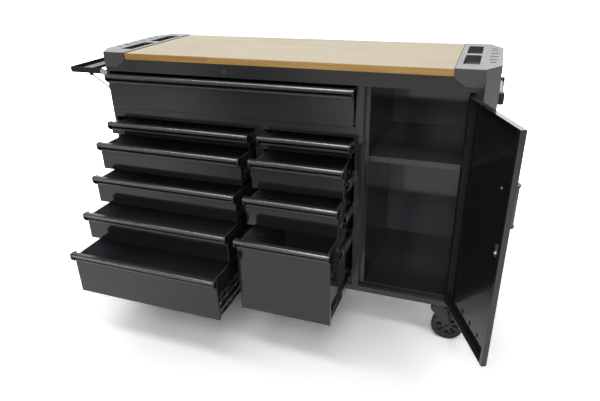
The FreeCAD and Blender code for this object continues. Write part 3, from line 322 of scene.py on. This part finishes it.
class CabinetFinish(bpy.types.PropertyGroup):
    """Colours and sizes of the cabinet's finishes."""
    case_colour: bpy.props.FloatVectorProperty(
        name="Cabinet paint", description="Colour of the case, its rails and its back", subtype="COLOR",
        size=3, min=0.0, max=1.0, default=(0.026, 0.0265, 0.0285))
    drawer_colour: bpy.props.FloatVectorProperty(
        name="Drawer paint", description="Colour of the drawers and the door", subtype="COLOR",
        size=3, min=0.0, max=1.0, default=(0.018, 0.0188, 0.0215))
    # Painted light: the insides get a paler, bluer copy of the drawer paint, for the light that reaches into
    # them.
    inside_colour_painted_light: bpy.props.FloatVectorProperty(
        name="Drawer insides", description="Colour of the insides of the drawers", subtype="COLOR",
        size=3, min=0.0, max=1.0, default=(0.095, 0.101, 0.115))
    tray_colour: bpy.props.FloatVectorProperty(
        name="Side tray paint", description="Colour of the folding side tray", subtype="COLOR",
        size=3, min=0.0, max=1.0, default=(0.016, 0.016, 0.017))
    cap_colour: bpy.props.FloatVectorProperty(
        name="End cap plastic", description="Colour of the moulded caps at the ends of the work top",
        subtype="COLOR", size=3, min=0.0, max=1.0, default=(0.036, 0.036, 0.038))
    pull_colour: bpy.props.FloatVectorProperty(
        name="Pulls", description="Colour of the anodised pulls on the drawers and the door", subtype="COLOR",
        size=3, min=0.0, max=1.0, default=(0.035, 0.035, 0.036))
    # A paint paler than the case paint; on the bottom front rail it is painted light, standing in for the
    # floor's reflection.
    shelf_colour_rail_painted_light: bpy.props.FloatVectorProperty(
        name="Shelf and low rail paint", subtype="COLOR", size=3, min=0.0, max=1.0,
        description="Colour of the cupboard's shelf and the bottom front rail", default=(0.045, 0.045, 0.046))
    handle_colour: bpy.props.FloatVectorProperty(
        name="Push bar", description="Colour of the push bar on the right side", subtype="COLOR",
        size=3, min=0.0, max=1.0, default=(0.74, 0.74, 0.75))
    wood_light: bpy.props.FloatVectorProperty(
        name="Light wood", description="Light tone of the work top", subtype="COLOR",
        size=3, min=0.0, max=1.0, default=(0.62, 0.545, 0.4))
    wood_dark: bpy.props.FloatVectorProperty(
        name="Dark wood", description="Dark tone of the work top", subtype="COLOR",
        size=3, min=0.0, max=1.0, default=(0.56, 0.48, 0.335))
    stave_width: bpy.props.FloatProperty(
        name="Stave width", description="Width of the wood strips that make up the work top",
        subtype="DISTANCE", unit="LENGTH", min=0.01, max=0.2, default=0.045)
    edge_rounding: bpy.props.FloatProperty(
        name="Edge rounding", description="Radius of the soft edges on folded sheet metal",
        subtype="DISTANCE", unit="LENGTH", min=0.0, max=0.002, default=0.0005)
    screw_radius: bpy.props.FloatProperty(
        name="Screw head radius", description="Radius of the small screw heads",
        subtype="DISTANCE", unit="LENGTH", min=0.001, max=0.01, default=0.0036)


class CabinetStudio(bpy.types.PropertyGroup):
    """Light and floor of the studio."""
    horizon_light: bpy.props.FloatProperty(
        name="Light from the sides", description="Strength of the surrounding light near the horizon",
        min=0.0, max=5.0, default=0.1)
    zenith_light: bpy.props.FloatProperty(
        name="Light from above", description="Strength that the surrounding light gains up to the zenith",
        min=0.0, max=5.0, default=0.4)
    overhead_power: bpy.props.FloatProperty(
        name="Overhead lamp", description="Power of the wide lamp over the front of the cabinet",
        subtype="POWER", unit="POWER", min=0.0, max=2000.0, default=24.0)
    rear_power: bpy.props.FloatProperty(
        name="Rear lamp", description="Power of the wide lamp behind the cabinet, which shines on its top",
        subtype="POWER", unit="POWER", min=0.0, max=2000.0, default=190.0)
    side_power: bpy.props.FloatProperty(
        name="Side lamp", description="Power of the lamp at the right of the cabinet",
        subtype="POWER", unit="POWER", min=0.0, max=2000.0, default=16.0)
    floor_colour: bpy.props.FloatVectorProperty(
        name="Floor", description="Colour of the floor as the camera sees it", subtype="COLOR", size=3,
        min=0.0, max=2.0, default=(1.6, 1.6, 1.6))
    front_power: bpy.props.FloatProperty(
        name="Front lamp", description="Power of the wide lamp in front, which lights the insides",
        subtype="POWER", unit="POWER", min=0.0, max=2000.0, default=24.0)
    floor_bounce: bpy.props.FloatProperty(
        name="Floor bounce", description="Share of the light that the floor throws back onto the cabinet",
        min=0.0, max=1.0, default=0.3)


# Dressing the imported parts

def soften(node, width):
    """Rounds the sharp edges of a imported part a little, so that they catch light."""
    weld = node.modifiers.new("Join corners", "WELD")
    weld.merge_threshold = 0.00001
    bevel = node.modifiers.new("Soft edges", "BEVEL")
    bevel.width = width
    bevel.segments = 2
    bevel.limit_method = "ANGLE"
    bevel.angle_limit = math.radians(38)
    bevel.harden_normals = True
    bevel.use_clamp_overlap = True


def dress(name, material, others=()):
    """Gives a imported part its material, and others to the faces that a test picks by their middle."""
    node = frame["nodes"][name]
    mesh = node.data
    mesh.materials.clear()
    mesh.materials.append(material)
    for other, _ in others:
        mesh.materials.append(other)
    for face in mesh.polygons:
        face.material_index = 0
        for index, (_, test) in enumerate(others):
            if test(face.center):
                face.material_index = index + 1
    return node


def find_material(name):
    return bpy.data.materials[name]


# Small fasteners, built in mesh code

def standing(place, outward):
    """The frame of a fastener that stands at place and points outward."""
    turn = Vector((0.0, 0.0, 1.0)).rotation_difference(Vector(outward)).to_matrix().to_4x4()
    return Matrix.Translation(Vector(place)) @ turn


def on_circle(radius, side, sides, level):
    """One corner, numbered side, of a level ring with that many sides."""
    angle = 2 * math.pi * side / sides
    return Vector((radius * math.cos(angle), radius * math.sin(angle), level))


def head_mesh(builder, place, outward, radius, height, crossed=True):
    """Adds a domed head that stands on a surface at place, with a cross recess or plain like a rivet's."""
    rings = 9
    sides = 28
    at = standing(place, outward)
    rows = []
    for ring_index in range(rings + 1):
        share = ring_index / rings
        dome = height * math.sqrt(1.0 - (share * 0.92) ** 2.4)
        row = []
        for side in range(sides if ring_index else 1):
            across = abs(math.sin(4 * math.pi * side / sides)) * share
            sunk = crossed and across < 0.24 and share < 0.62
            level = dome - height * 0.55 if sunk else dome
            row.append(builder.verts.new(at @ on_circle(radius * share, side, sides, level)))
        rows.append(row)
    rows.append([builder.verts.new(at @ on_circle(radius, side, sides, -FOOT)) for side in range(sides)])
    for side in range(sides):
        following = (side + 1) % sides
        builder.faces.new((rows[0][0], rows[1][side], rows[1][following]))
        for lower, upper in zip(rows[1:-1], rows[2:]):
            builder.faces.new((lower[side], upper[side], upper[following], lower[following]))


def nut_mesh(builder, place, outward, radius, height):
    """Adds a chamfered hexagon nut with the end of its bolt."""
    sides = 6
    at = standing(place, outward)
    levels = ((radius, -FOOT), (radius, height * 0.8), (radius * 0.88, height), (radius * 0.5, height),
              (radius * 0.5, height * 1.35), (radius * 0.38, height * 1.5))
    rows = [[builder.verts.new(at @ on_circle(reach, side, sides, level)) for side in range(sides)]
            for reach, level in levels]
    for lower, upper in zip(rows, rows[1:]):
        for side in range(sides):
            following = (side + 1) % sides
            builder.faces.new((lower[side], lower[following], upper[following], upper[side]))
    builder.faces.new(rows[-1])


def finish_piece(name, builder, material, body):
    """Turns built mesh into a piece that rides on a body."""
    bmesh.ops.recalc_face_normals(builder, faces=builder.faces)
    mesh = bpy.data.meshes.new(name)
    builder.to_mesh(mesh)
    builder.free()
    piece = bpy.data.objects.new(name, mesh)
    bpy.context.scene.collection.objects.link(piece)
    mesh.materials.append(find_material(material))
    for face in mesh.polygons:
        face.use_smooth = True
    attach(piece, body)


# The steps, each an operator

class CABINET_OT_materials(bpy.types.Operator):
    """Makes every material of the cabinet"""
    bl_idname = "cabinet.materials"
    bl_label = "Make materials"

    def execute(self, context):
        finish = context.scene.cabinet_finish
        make_paint_skin()
        make_handling_marks()
        make_settled_dust()
        make_painted_edge_highlights()
        make_paint("Cabinet paint", finish.case_colour, (0.08, 0.16))
        make_paint("Drawer paint", finish.drawer_colour, (0.06, 0.13))
        make_paint("Inside paint with painted light", finish.inside_colour_painted_light, (0.06, 0.13))
        make_paint("Shelf paint and rail painted light", finish.shelf_colour_rail_painted_light, (0.12, 0.2))
        make_paint("Tray paint", finish.tray_colour, (0.3, 0.45), specular=0.25)
        make_paint("Fork paint", finish.case_colour, (0.25, 0.4))
        make_plastic("Cap plastic", finish.cap_colour, (0.32, 0.4), specular=1.0)
        make_plastic("Bracket plastic", (0.03, 0.03, 0.032), (0.35, 0.5))
        make_plastic("Pull end plastic", (0.025, 0.025, 0.027), (0.3, 0.42), 0.3)
        make_plastic("Wheel plastic", (0.05, 0.05, 0.053), (0.3, 0.45))
        # Painted shade: a near-black copy of the wheel plastic for the floors of the wheels' pockets.
        make_plastic("Wheel pocket painted shade", (0.006, 0.006, 0.006), (0.5, 0.7))
        # A near-black matte: the dark joints at the work top's ends, and painted shade in the pulls' finger
        # grooves and the door's three holes.
        make_plastic("Seam", (0.004, 0.004, 0.004), (0.5, 0.7), dust=0.02, specular=0.1)
        make_plastic("Push bar plastic", finish.handle_colour, (0.3, 0.45), 0.25)
        make_plastic("Badge face", (0.03, 0.03, 0.033), (0.25, 0.4), 0.2, 1400.0)
        make_rubber("Tyre rubber", (0.02, 0.02, 0.021))
        make_metal("Pull metal", finish.pull_colour, (0.3, 0.38), (0.02, 1.0, 1.0), 0.0, 0.0, 0.8)
        # Painted highlight: the bead gets a paler copy of the pull metal, for the light along its top edge.
        make_metal("Pull bead with painted highlight", (0.06, 0.06, 0.061), (0.3, 0.38), (0.02, 1.0, 1.0), 0.0, 0.0, 0.8)
        # Painted highlight: a bright metal on the rounded edge of each pull's nose, where the lamp's
        # highlight falls.
        make_metal("Painted nose highlight", (0.32, 0.32, 0.33), (0.24, 0.32), (0.02, 1.0, 1.0), 0.0)
        make_metal("Lock metal", (0.16, 0.16, 0.17), (0.1, 0.2), marks=0.03)
        make_metal("Slide metal", (0.45, 0.45, 0.46), (0.2, 0.35), (1.0, 0.02, 1.0), 0.1)
        make_metal("Zinc", (0.62, 0.62, 0.6), (0.28, 0.45))
        make_metal("Stay steel", (0.6, 0.6, 0.6), (0.25, 0.4), (0.05, 1.0, 1.0))
        make_wood("Wood top", finish.wood_light, finish.wood_dark, (0.69, 0.43, 0.16), (0.46, 0.25, 0.075),
                  finish.stave_width)
        return {"FINISHED"}


class CABINET_OT_case(bpy.types.Operator):
    """Finishes the case, its rails, jambs, shelf and slides"""
    bl_idname = "cabinet.case"
    bl_label = "Finish case"

    def execute(self, context):
        width = context.scene.cabinet_finish.edge_rounding
        case = find_material("Cabinet paint")
        shelf = find_material("Shelf paint and rail painted light")
        inside = find_material("Inside paint with painted light")
        leaf = find_material("Fork paint")
        zinc = find_material("Zinc")
        for name in ("side_panels", "bottom_panel", "column_divider", "cupboard_partition"):
            soften(dress(name, case), width)
        # The bottom front rail gets the paler shelf paint, as painted light for the floor's reflection.
        soften(dress("front_rails", case, [(shelf, lambda p: p.z < LOW_RAIL_TOP)]), width)
        low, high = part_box("back_panel")
        # The back's inner face gets the paler inside paint, which is painted light.
        soften(dress("back_panel", case,
                     [(inside, lambda p: p.y < low.y + 0.0004),
                      (zinc, lambda p: p.y > high.y - BACK_HEADS and abs(p.x) < BACK_HALF)]), width)
        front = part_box("door_jambs")[0].y
        soften(dress("door_jambs", case,
                     [(leaf, lambda p: p.y < front + FIXED_LEAF and p.x > RIGHT_JAMB)]), width)
        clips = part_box("cupboard_shelf")[1].z - SHELF_CLIPS
        soften(dress("cupboard_shelf", shelf, [(zinc, lambda p: p.z < clips)]), width)
        dress("outer_slide_members", find_material("Slide metal"))
        return {"FINISHED"}


class CABINET_OT_top(bpy.types.Operator):
    """Finishes the wood top, its end caps, the lock and the badge plate"""
    bl_idname = "cabinet.top"
    bl_label = "Finish top"

    def execute(self, context):
        width = context.scene.cabinet_finish.edge_rounding
        dress("worktop", find_material("Wood top"))
        plastic = find_material("Cap plastic")
        seam_and_shade = find_material("Seam")
        seam_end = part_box("worktop")[1].x + 0.0009
        for name in ("end_cap_left", "end_cap_right"):
            soften(dress(name, plastic, [(seam_and_shade, lambda p: abs(p.x) < seam_end)]), width)
        soften(dress("drawer_lock", find_material("Lock metal")), width * 0.5)
        soften(dress("badge_plate", find_material("Badge face")), width)
        return {"FINISHED"}


def on_slide(place, low, high):
    """Whether a place on a drawer belongs to its slide members, beside the box and behind the front."""
    inward = min(place.x - low.x, high.x - place.x)
    return place.y > low.y + FRONT_DEPTH and inward < SLIDE_DEPTH


def in_drawer(place, low, high):
    """Whether a place on a drawer belongs to the inside of its box."""
    return (low.x + SIDE_DEPTH < place.x < high.x - SIDE_DEPTH
            and low.y + SHEET < place.y < high.y - SHEET
            and place.z > low.z + FLOOR_HEIGHT)


def at_pull_end(along, low, high):
    """Whether a place along a pull, between low and high, lies on one of its two plastic ends."""
    return along < low + PULL_END or along > high - PULL_END


def in_groove(place, low, high):
    """Whether a place on a pull lies in the finger groove behind its nose, where shade is painted."""
    return place.y > low.y + PULL_LIP and low.z + BEAD_TOP < place.z < high.z - PULL_LIP


def on_nose(place, low, high):
    """Whether a place on a pull lies on the edge of its nose, where a highlight is painted in a bright metal.
    """
    return place.y < low.y + NOSE_DEPTH and high.z - NOSE_BOTTOM < place.z < high.z - NOSE_TOP


class CABINET_OT_drawers(bpy.types.Operator):
    """Finishes the ten drawers with their pulls and slides"""
    bl_idname = "cabinet.drawers"
    bl_label = "Finish drawers"

    def execute(self, context):
        width = context.scene.cabinet_finish.edge_rounding
        paint = find_material("Drawer paint")
        inside = find_material("Inside paint with painted light")
        slide = find_material("Slide metal")
        metal = find_material("Pull metal")
        ends = find_material("Pull end plastic")
        groove = find_material("Seam")
        shine = find_material("Painted nose highlight")
        bead = find_material("Pull bead with painted highlight")
        for number in DRAWERS:
            name = "drawer_" + number
            low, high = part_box(name + "_box")
            # The box's inside gets the paler inside paint, which is painted light.
            soften(dress(name + "_box", paint, [(slide, lambda p: on_slide(p, low, high)),
                                                (inside, lambda p: in_drawer(p, low, high))]), width)
            low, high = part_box(name + "_pull")
            # Each pull gets painted shade in its finger groove, a painted highlight on its nose and a paler
            # bead as a painted highlight.
            soften(dress(name + "_pull", metal,
                         [(ends, lambda p: at_pull_end(p.x, low.x, high.x)),
                          (groove, lambda p: in_groove(p, low, high)),
                          (shine, lambda p: on_nose(p, low, high)),
                          (bead, lambda p: p.z < low.z + BEAD_TOP)]), width)
            dress(name + "_slide_middle", slide)
        return {"FINISHED"}


def door_frame():
    """The hinge's place, and the turn that takes the shut door to where it stands open."""
    joint = next(item for item in frame["joints"] if item["name"] == "door_hinge")
    hinge = Vector(joint["pos_m"])
    opened = math.radians(-joint["range_deg"][0])
    return hinge, Matrix.Translation(hinge) @ Matrix.Rotation(opened, 4, "Z") @ Matrix.Translation(-hinge)


def on_hole_shade(place, hinge):
    """Whether a place on the shut door lies on one of the three oval holes low on its inside, which are
    painted dark as their shade.
    """
    across = hinge.x - DOOR_INSET - place.x
    return abs(place.z - HOLE_HEIGHT) < 0.0095 and min(abs(across - middle) for middle in DOOR_HOLES) < 0.0045


class CABINET_OT_door(bpy.types.Operator):
    """Finishes the cupboard door with its hinge, pull and lock"""
    bl_idname = "cabinet.door"
    bl_label = "Finish door"

    def execute(self, context):
        width = context.scene.cabinet_finish.edge_rounding
        hinge, turn = door_frame()
        shut = turn.inverted()
        seam_and_shade = find_material("Seam")
        leaf = find_material("Fork paint")
        # Painted shade: three dark ovals where the door's inside has holes.
        soften(dress("door_panel", find_material("Drawer paint"),
                     [(seam_and_shade, lambda p: on_hole_shade(shut @ p, hinge)),
                      (leaf, lambda p: hinge.x - (shut @ p).x < LEAF_REACH)]), width)
        low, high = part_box("door_pull")
        ends = find_material("Pull end plastic")
        soften(dress("door_pull", find_material("Pull metal"),
                     [(ends, lambda p: at_pull_end(p.z, low.z, high.z))]), width)
        soften(dress("door_lock", find_material("Zinc")), width * 0.5)
        return {"FINISHED"}


class CABINET_OT_side_parts(bpy.types.Operator):
    """Finishes the side tray with its brackets and stays, and the push handle"""
    bl_idname = "cabinet.side_parts"
    bl_label = "Finish tray and handle"

    def execute(self, context):
        width = context.scene.cabinet_finish.edge_rounding
        soften(dress("side_tray", find_material("Tray paint")), width)
        soften(dress("tray_stays", find_material("Stay steel")), width * 0.6)
        soften(dress("tray_brackets", find_material("Zinc")), width * 0.6)
        dress("push_handle_bar", find_material("Push bar plastic"))
        soften(dress("push_handle_brackets", find_material("Bracket plastic")), width * 2)
        return {"FINISHED"}


def in_pocket(offset):
    """Whether a place, measured from the wheel's middle, lies inside one of its pockets."""
    return abs(offset.y) < POCKET_FLOOR and POCKET_INNER < math.hypot(offset.x, offset.z) < POCKET_OUTER


class CABINET_OT_casters(bpy.types.Operator):
    """Finishes the casters: plates, forks, wheels and tyres"""
    bl_idname = "cabinet.casters"
    bl_label = "Finish casters"

    def execute(self, context):
        width = context.scene.cabinet_finish.edge_rounding
        paint = find_material("Fork paint")
        for name in ("rigid_caster_forks", "swivel_caster_plates", "swivel_fork_front", "swivel_fork_rear"):
            soften(dress(name, paint), width)
        tyre = find_material("Tyre rubber")
        pocket = find_material("Wheel pocket painted shade")
        for name in ("wheel_right_front", "wheel_right_rear", "wheel_left_front", "wheel_left_rear"):
            low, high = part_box(name)
            middle = (low + high) / 2
            # Painted shade on the floors of the wheel's pockets.
            soften(dress(name, find_material("Wheel plastic"),
                         [(tyre, lambda p: math.hypot(p.x - middle.x, p.z - middle.z) > WHEEL_RIM),
                          (pocket, lambda p: in_pocket(p - middle))]), width)
        return {"FINISHED"}


class CABINET_OT_drawer_screws(bpy.types.Operator):
    """Adds the screws inside the drawers and the rivets on their slides"""
    bl_idname = "cabinet.drawer_screws"
    bl_label = "Add drawer screws"

    def execute(self, context):
        radius = context.scene.cabinet_finish.screw_radius
        wall = 0.0112
        web = 0.0086
        half_slide = 0.0182
        screw_rise = 0.004
        for number in DRAWERS:
            low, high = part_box("drawer_%s_box" % number)
            slides_low, slides_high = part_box("drawer_%s_slide_middle" % number)
            builder = bmesh.new()
            heights = [(slides_low.z + slides_high.z) / 2]
            if slides_high.z - slides_low.z > 0.1:
                heights = [slides_low.z + half_slide, slides_high.z - half_slide]
            for height in heights:
                for back in (0.022, 0.183, 0.34):
                    for side, way in ((low.x + wall, 1), (high.x - wall, -1)):
                        place = (side, low.y + back, height + screw_rise)
                        head_mesh(builder, place, (way, 0, 0), radius, radius * 0.5)
                for back in (0.03, 0.08, 0.15, 0.25, 0.34):
                    for side, way in ((low.x + web, -1), (high.x - web, 1)):
                        place = (side, low.y + back, height)
                        head_mesh(builder, place, (way, 0, 0), radius, radius * 0.4, crossed=False)
            finish_piece("drawer_%s_screws" % number, builder, "Zinc", "drawer_" + number)
        return {"FINISHED"}


class CABINET_OT_door_fasteners(bpy.types.Operator):
    """Adds the screws and the lock's two nuts to the inside of the door"""
    bl_idname = "cabinet.door_fasteners"
    bl_label = "Add door fasteners"

    def execute(self, context):
        radius = context.scene.cabinet_finish.screw_radius
        hinge, turn = door_frame()
        inward = turn.to_3x3() @ Vector((0.0, 1.0, 0.0))
        builder = bmesh.new()
        for across, height in ((0.247, 0.747), (0.310, 0.757), (0.309, 0.715), (0.309, 0.685)):
            place = turn @ Vector((hinge.x - DOOR_INSET - across, hinge.y + DOOR_SKIN, height))
            head_mesh(builder, place, inward, radius, radius * 0.6)
        low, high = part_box("door_lock")
        nut_height = 0.0035
        cam_end = turn @ Vector((hinge.x - 0.3032, hinge.y + 0.0195, high.z - 0.026))
        nut_mesh(builder, cam_end, inward, 0.0055, nut_height)
        nut_mesh(builder, cam_end - inward * 0.0168, inward, 0.0115, nut_height)
        finish_piece("door_screws", builder, "Zinc", "door")
        return {"FINISHED"}


def ribbon(builder, points, width, height):
    """Adds a strip with a softly rounded top that follows points lying in one level."""
    steps = 6
    rows = []
    for index, point in enumerate(points):
        before = points[max(index - 1, 0)]
        after = points[min(index + 1, len(points) - 1)]
        along = (Vector(after) - Vector(before)).normalized()
        across = Vector((along.y, -along.x, 0.0))
        row = []
        for step in range(steps + 1):
            angle = math.pi * step / steps
            row.append(builder.verts.new(Vector(point) + across * (width / 2 * math.cos(angle))
                                         + Vector((0.0, 0.0, height * math.sin(angle)))))
        rows.append(row)
    for first, second in zip(rows, rows[1:]):
        for step in range(steps):
            builder.faces.new((first[step], first[step + 1], second[step + 1], second[step]))
        builder.faces.new((first[steps], first[0], second[0], second[steps]))
    builder.faces.new(tuple(rows[0]))
    builder.faces.new(tuple(reversed(rows[-1])))


class CABINET_OT_joint_strips(bpy.types.Operator):
    """Adds the thin dark strip that closes the joint between the wood top and each end cap"""
    bl_idname = "cabinet.joint_strips"
    bl_label = "Add joint strips"

    def execute(self, context):
        low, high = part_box("worktop")
        parts = 16
        inset = 0.001
        length = high.y - low.y - 2 * inset
        builder = bmesh.new()
        for edge, width in ((low.x + 0.0012, 0.0064), (high.x - 0.0004, 0.0012)):
            points = [(edge, low.y + inset + length * part / parts, high.z - 0.0004)
                      for part in range(parts + 1)]
            ribbon(builder, points, width, 0.0018)
        finish_piece("joint_strips", builder, "Seam", "cabinet")
        return {"FINISHED"}


class CABINET_OT_tray_screws(bpy.types.Operator):
    """Adds the screws that hold the tray's brackets to the side of the case"""
    bl_idname = "cabinet.tray_screws"
    bl_label = "Add tray screws"

    def execute(self, context):
        radius = context.scene.cabinet_finish.screw_radius
        low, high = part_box("tray_brackets")
        face = high.x - 0.0015
        builder = bmesh.new()
        for end, way in ((low.y, 1.0), (high.y, -1.0)):
            for place in ((face, end + way * 0.0135, high.z - 0.007),
                          (face, end + way * 0.0135, high.z - 0.018),
                          (face + 0.0003, end + way * 0.02, low.z + 0.01)):
                head_mesh(builder, place, (-1, 0, 0), radius * 0.8, radius * 0.5)
        finish_piece("tray_bracket_screws", builder, "Zinc", "cabinet")
        return {"FINISHED"}


class CABINET_OT_studio(bpy.types.Operator):
    """Sets up the floor, the lamps and the camera"""
    bl_idname = "cabinet.studio"
    bl_label = "Set up studio"

    def execute(self, context):
        scene = context.scene
        studio = scene.cabinet_studio
        build_floor(scene, studio.floor_colour, studio.floor_bounce)
        build_surroundings(scene, studio.horizon_light, studio.zenith_light)
        add_lamp("Overhead lamp", (-0.2, -1.3, 3.0), (0.0, -0.3, 0.5), (3.6, 0.4), studio.overhead_power)
        add_lamp("Rear lamp", (-1.2, 4.5, 3.4), (-0.2, 0.0, 1.0), (8.0, 3.0), studio.rear_power)
        add_lamp("Front lamp", (0.8, -2.9, 2.4), (0.1, -0.2, 0.5), (1.6, 1.6), studio.front_power)
        add_lamp("Side lamp", (3.2, -1.6, 2.2), (0.4, -0.2, 0.8), (1.6, 1.6), studio.side_power)
        add_camera(scene)
        scene.view_settings.view_transform = "Standard"
        return {"FINISHED"}


# The studio

def build_surroundings(scene, horizon, rise):
    """Soft light that grows from the horizon to the zenith; the camera sees plain white."""
    world = bpy.data.worlds.new("Studio")
    scene.world = world
    world.use_nodes = True
    tree = world.node_tree
    background = tree.nodes["Background"]
    way = add(tree, "ShaderNodeSeparateXYZ", {"Vector": add(tree, "ShaderNodeTexCoord").outputs["Generated"]})
    light = spread(tree, way.outputs["Z"], 0.0, 1.0, horizon, horizon + rise)
    seen = add(tree, "ShaderNodeLightPath").outputs["Is Camera Ray"]
    strength = add(tree, "ShaderNodeMix", {"Factor": seen, "A": light, "B": 1.0})
    tree.links.new(strength.outputs[0], background.inputs["Strength"])
    background.inputs["Color"].default_value = (1.0, 1.0, 1.0, 1.0)


def build_floor(scene, colour, bounce):
    """A wide pale floor under the cabinet, in rings that get larger outwards. Glossy rays see it with a
    painted reflection: darker along a slanting streak far in front of the cabinet, brighter elsewhere.
    """
    sides = 48
    builder = bmesh.new()
    rows = [[builder.verts.new(on_circle(reach, side, sides, 0.0)) for side in range(sides)]
            for reach in (2.0, 5.0, 12.0, 60.0)]
    builder.faces.new(rows[0])
    for inner, outer in zip(rows, rows[1:]):
        for side in range(sides):
            following = (side + 1) % sides
            builder.faces.new((inner[side], outer[side], outer[following], inner[following]))
    mesh = bpy.data.meshes.new("studio_floor")
    builder.to_mesh(mesh)
    builder.free()
    floor = bpy.data.objects.new("studio_floor", mesh)
    scene.collection.objects.link(floor)
    tree, shader = new_material("Studio floor", Roughness=0.9, Specular_IOR_Level=0.0)
    path = add(tree, "ShaderNodeLightPath")
    place = add(tree, "ShaderNodeSeparateXYZ", {"Vector": rest_place(tree)})
    away = maths(tree, "ADD", place.outputs["X"], maths(tree, "MULTIPLY", place.outputs["Y"], -0.59))
    away = maths(tree, "ABSOLUTE", maths(tree, "SUBTRACT", away, 0.55))
    aside = spread(tree, away, 0.3, 0.95)
    near = spread(tree, place.outputs["Y"], -1.6, -1.2)
    # Painted reflection: the colour the glossy rays see, to shape the reflections in the cabinet's fronts.
    painted_reflection = blend_colours(tree, maths(tree, "MAXIMUM", aside, near), (0.5, 0.5, 0.51), (1.52, 1.48, 1.39))
    thrown = blend_colours(tree, path.outputs["Is Glossy Ray"], (bounce, bounce, bounce), painted_reflection)
    centre = add(tree, "ShaderNodeVectorMath", {0: rest_place(tree)}, operation="LENGTH").outputs["Value"]
    seen = blend_colours(tree, spread(tree, centre, 1.0, 3.0), colour, (4.0, 4.0, 4.0))
    shown = blend_colours(tree, path.outputs["Is Camera Ray"], thrown, seen)
    tree.links.new(shown, shader.inputs["Base Color"])
    mesh.materials.append(find_material("Studio floor"))


def add_lamp(name, place, target, size, power):
    """A soft rectangular lamp that shines from place towards target."""
    data = bpy.data.lights.new(name, "AREA")
    data.shape = "RECTANGLE"
    data.size, data.size_y = size
    data.energy = power
    lamp = bpy.data.objects.new(name, data)
    lamp.location = place
    lamp.rotation_euler = (Vector(target) - Vector(place)).to_track_quat("-Z", "Y").to_euler()
    bpy.context.scene.collection.objects.link(lamp)


def add_camera(scene):
    """The camera, from its yaw, pitch and roll."""
    level = math.cos(CAMERA_PITCH)
    forward = Vector((math.sin(CAMERA_YAW) * level, math.cos(CAMERA_YAW) * level, math.sin(CAMERA_PITCH)))
    right = Vector((math.cos(CAMERA_YAW), -math.sin(CAMERA_YAW), 0.0))
    up = right.cross(forward)
    tilted_right = right * math.cos(CAMERA_ROLL) + up * math.sin(CAMERA_ROLL)
    tilted_up = up * math.cos(CAMERA_ROLL) - right * math.sin(CAMERA_ROLL)
    turn = Matrix((tilted_right, tilted_up, -forward)).transposed()
    data = bpy.data.cameras.new("Camera")
    data.lens = CAMERA_LENS
    data.sensor_width = 36.0
    camera = bpy.data.objects.new("Camera", data)
    camera.matrix_world = Matrix.Translation(CAMERA_PLACE) @ turn.to_4x4()
    scene.collection.objects.link(camera)
    scene.camera = camera


class CABINET_PT_panel(bpy.types.Panel):
    """Lists the steps that finish the cabinet"""
    bl_label = "Tool Cabinet"
    bl_idname = "CABINET_PT_panel"
    bl_space_type = "VIEW_3D"
    bl_region_type = "UI"
    bl_category = "Tool Cabinet"

    def draw(self, context):
        layout = self.layout
        for group in (context.scene.cabinet_finish, context.scene.cabinet_studio):
            for name in group.__annotations__:
                layout.prop(group, name)
        for step in STEPS:
            layout.operator(step.bl_idname)


STEPS = (CABINET_OT_materials, CABINET_OT_case, CABINET_OT_top, CABINET_OT_drawers, CABINET_OT_door,
         CABINET_OT_side_parts, CABINET_OT_casters, CABINET_OT_drawer_screws, CABINET_OT_door_fasteners,
         CABINET_OT_tray_screws, CABINET_OT_joint_strips, CABINET_OT_studio)
CLASSES = (CabinetFinish, CabinetStudio) + STEPS + (CABINET_PT_panel,)


def register():
    for item in CLASSES:
        bpy.utils.register_class(item)
    bpy.types.Scene.cabinet_finish = bpy.props.PointerProperty(type=CabinetFinish)
    bpy.types.Scene.cabinet_studio = bpy.props.PointerProperty(type=CabinetStudio)


def unregister():
    del bpy.types.Scene.cabinet_studio
    del bpy.types.Scene.cabinet_finish
    for item in reversed(CLASSES):
        bpy.utils.unregister_class(item)


def main():
    """Runs every step in order."""
    register()
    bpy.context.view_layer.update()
    for step in STEPS:
        group, name = step.bl_idname.split(".")
        if getattr(getattr(bpy.ops, group), name)() != {"FINISHED"}:
            raise RuntimeError("The step " + step.bl_idname + " did not finish")
    bpy.context.view_layer.update()


if __name__ == "__main__":
    main()
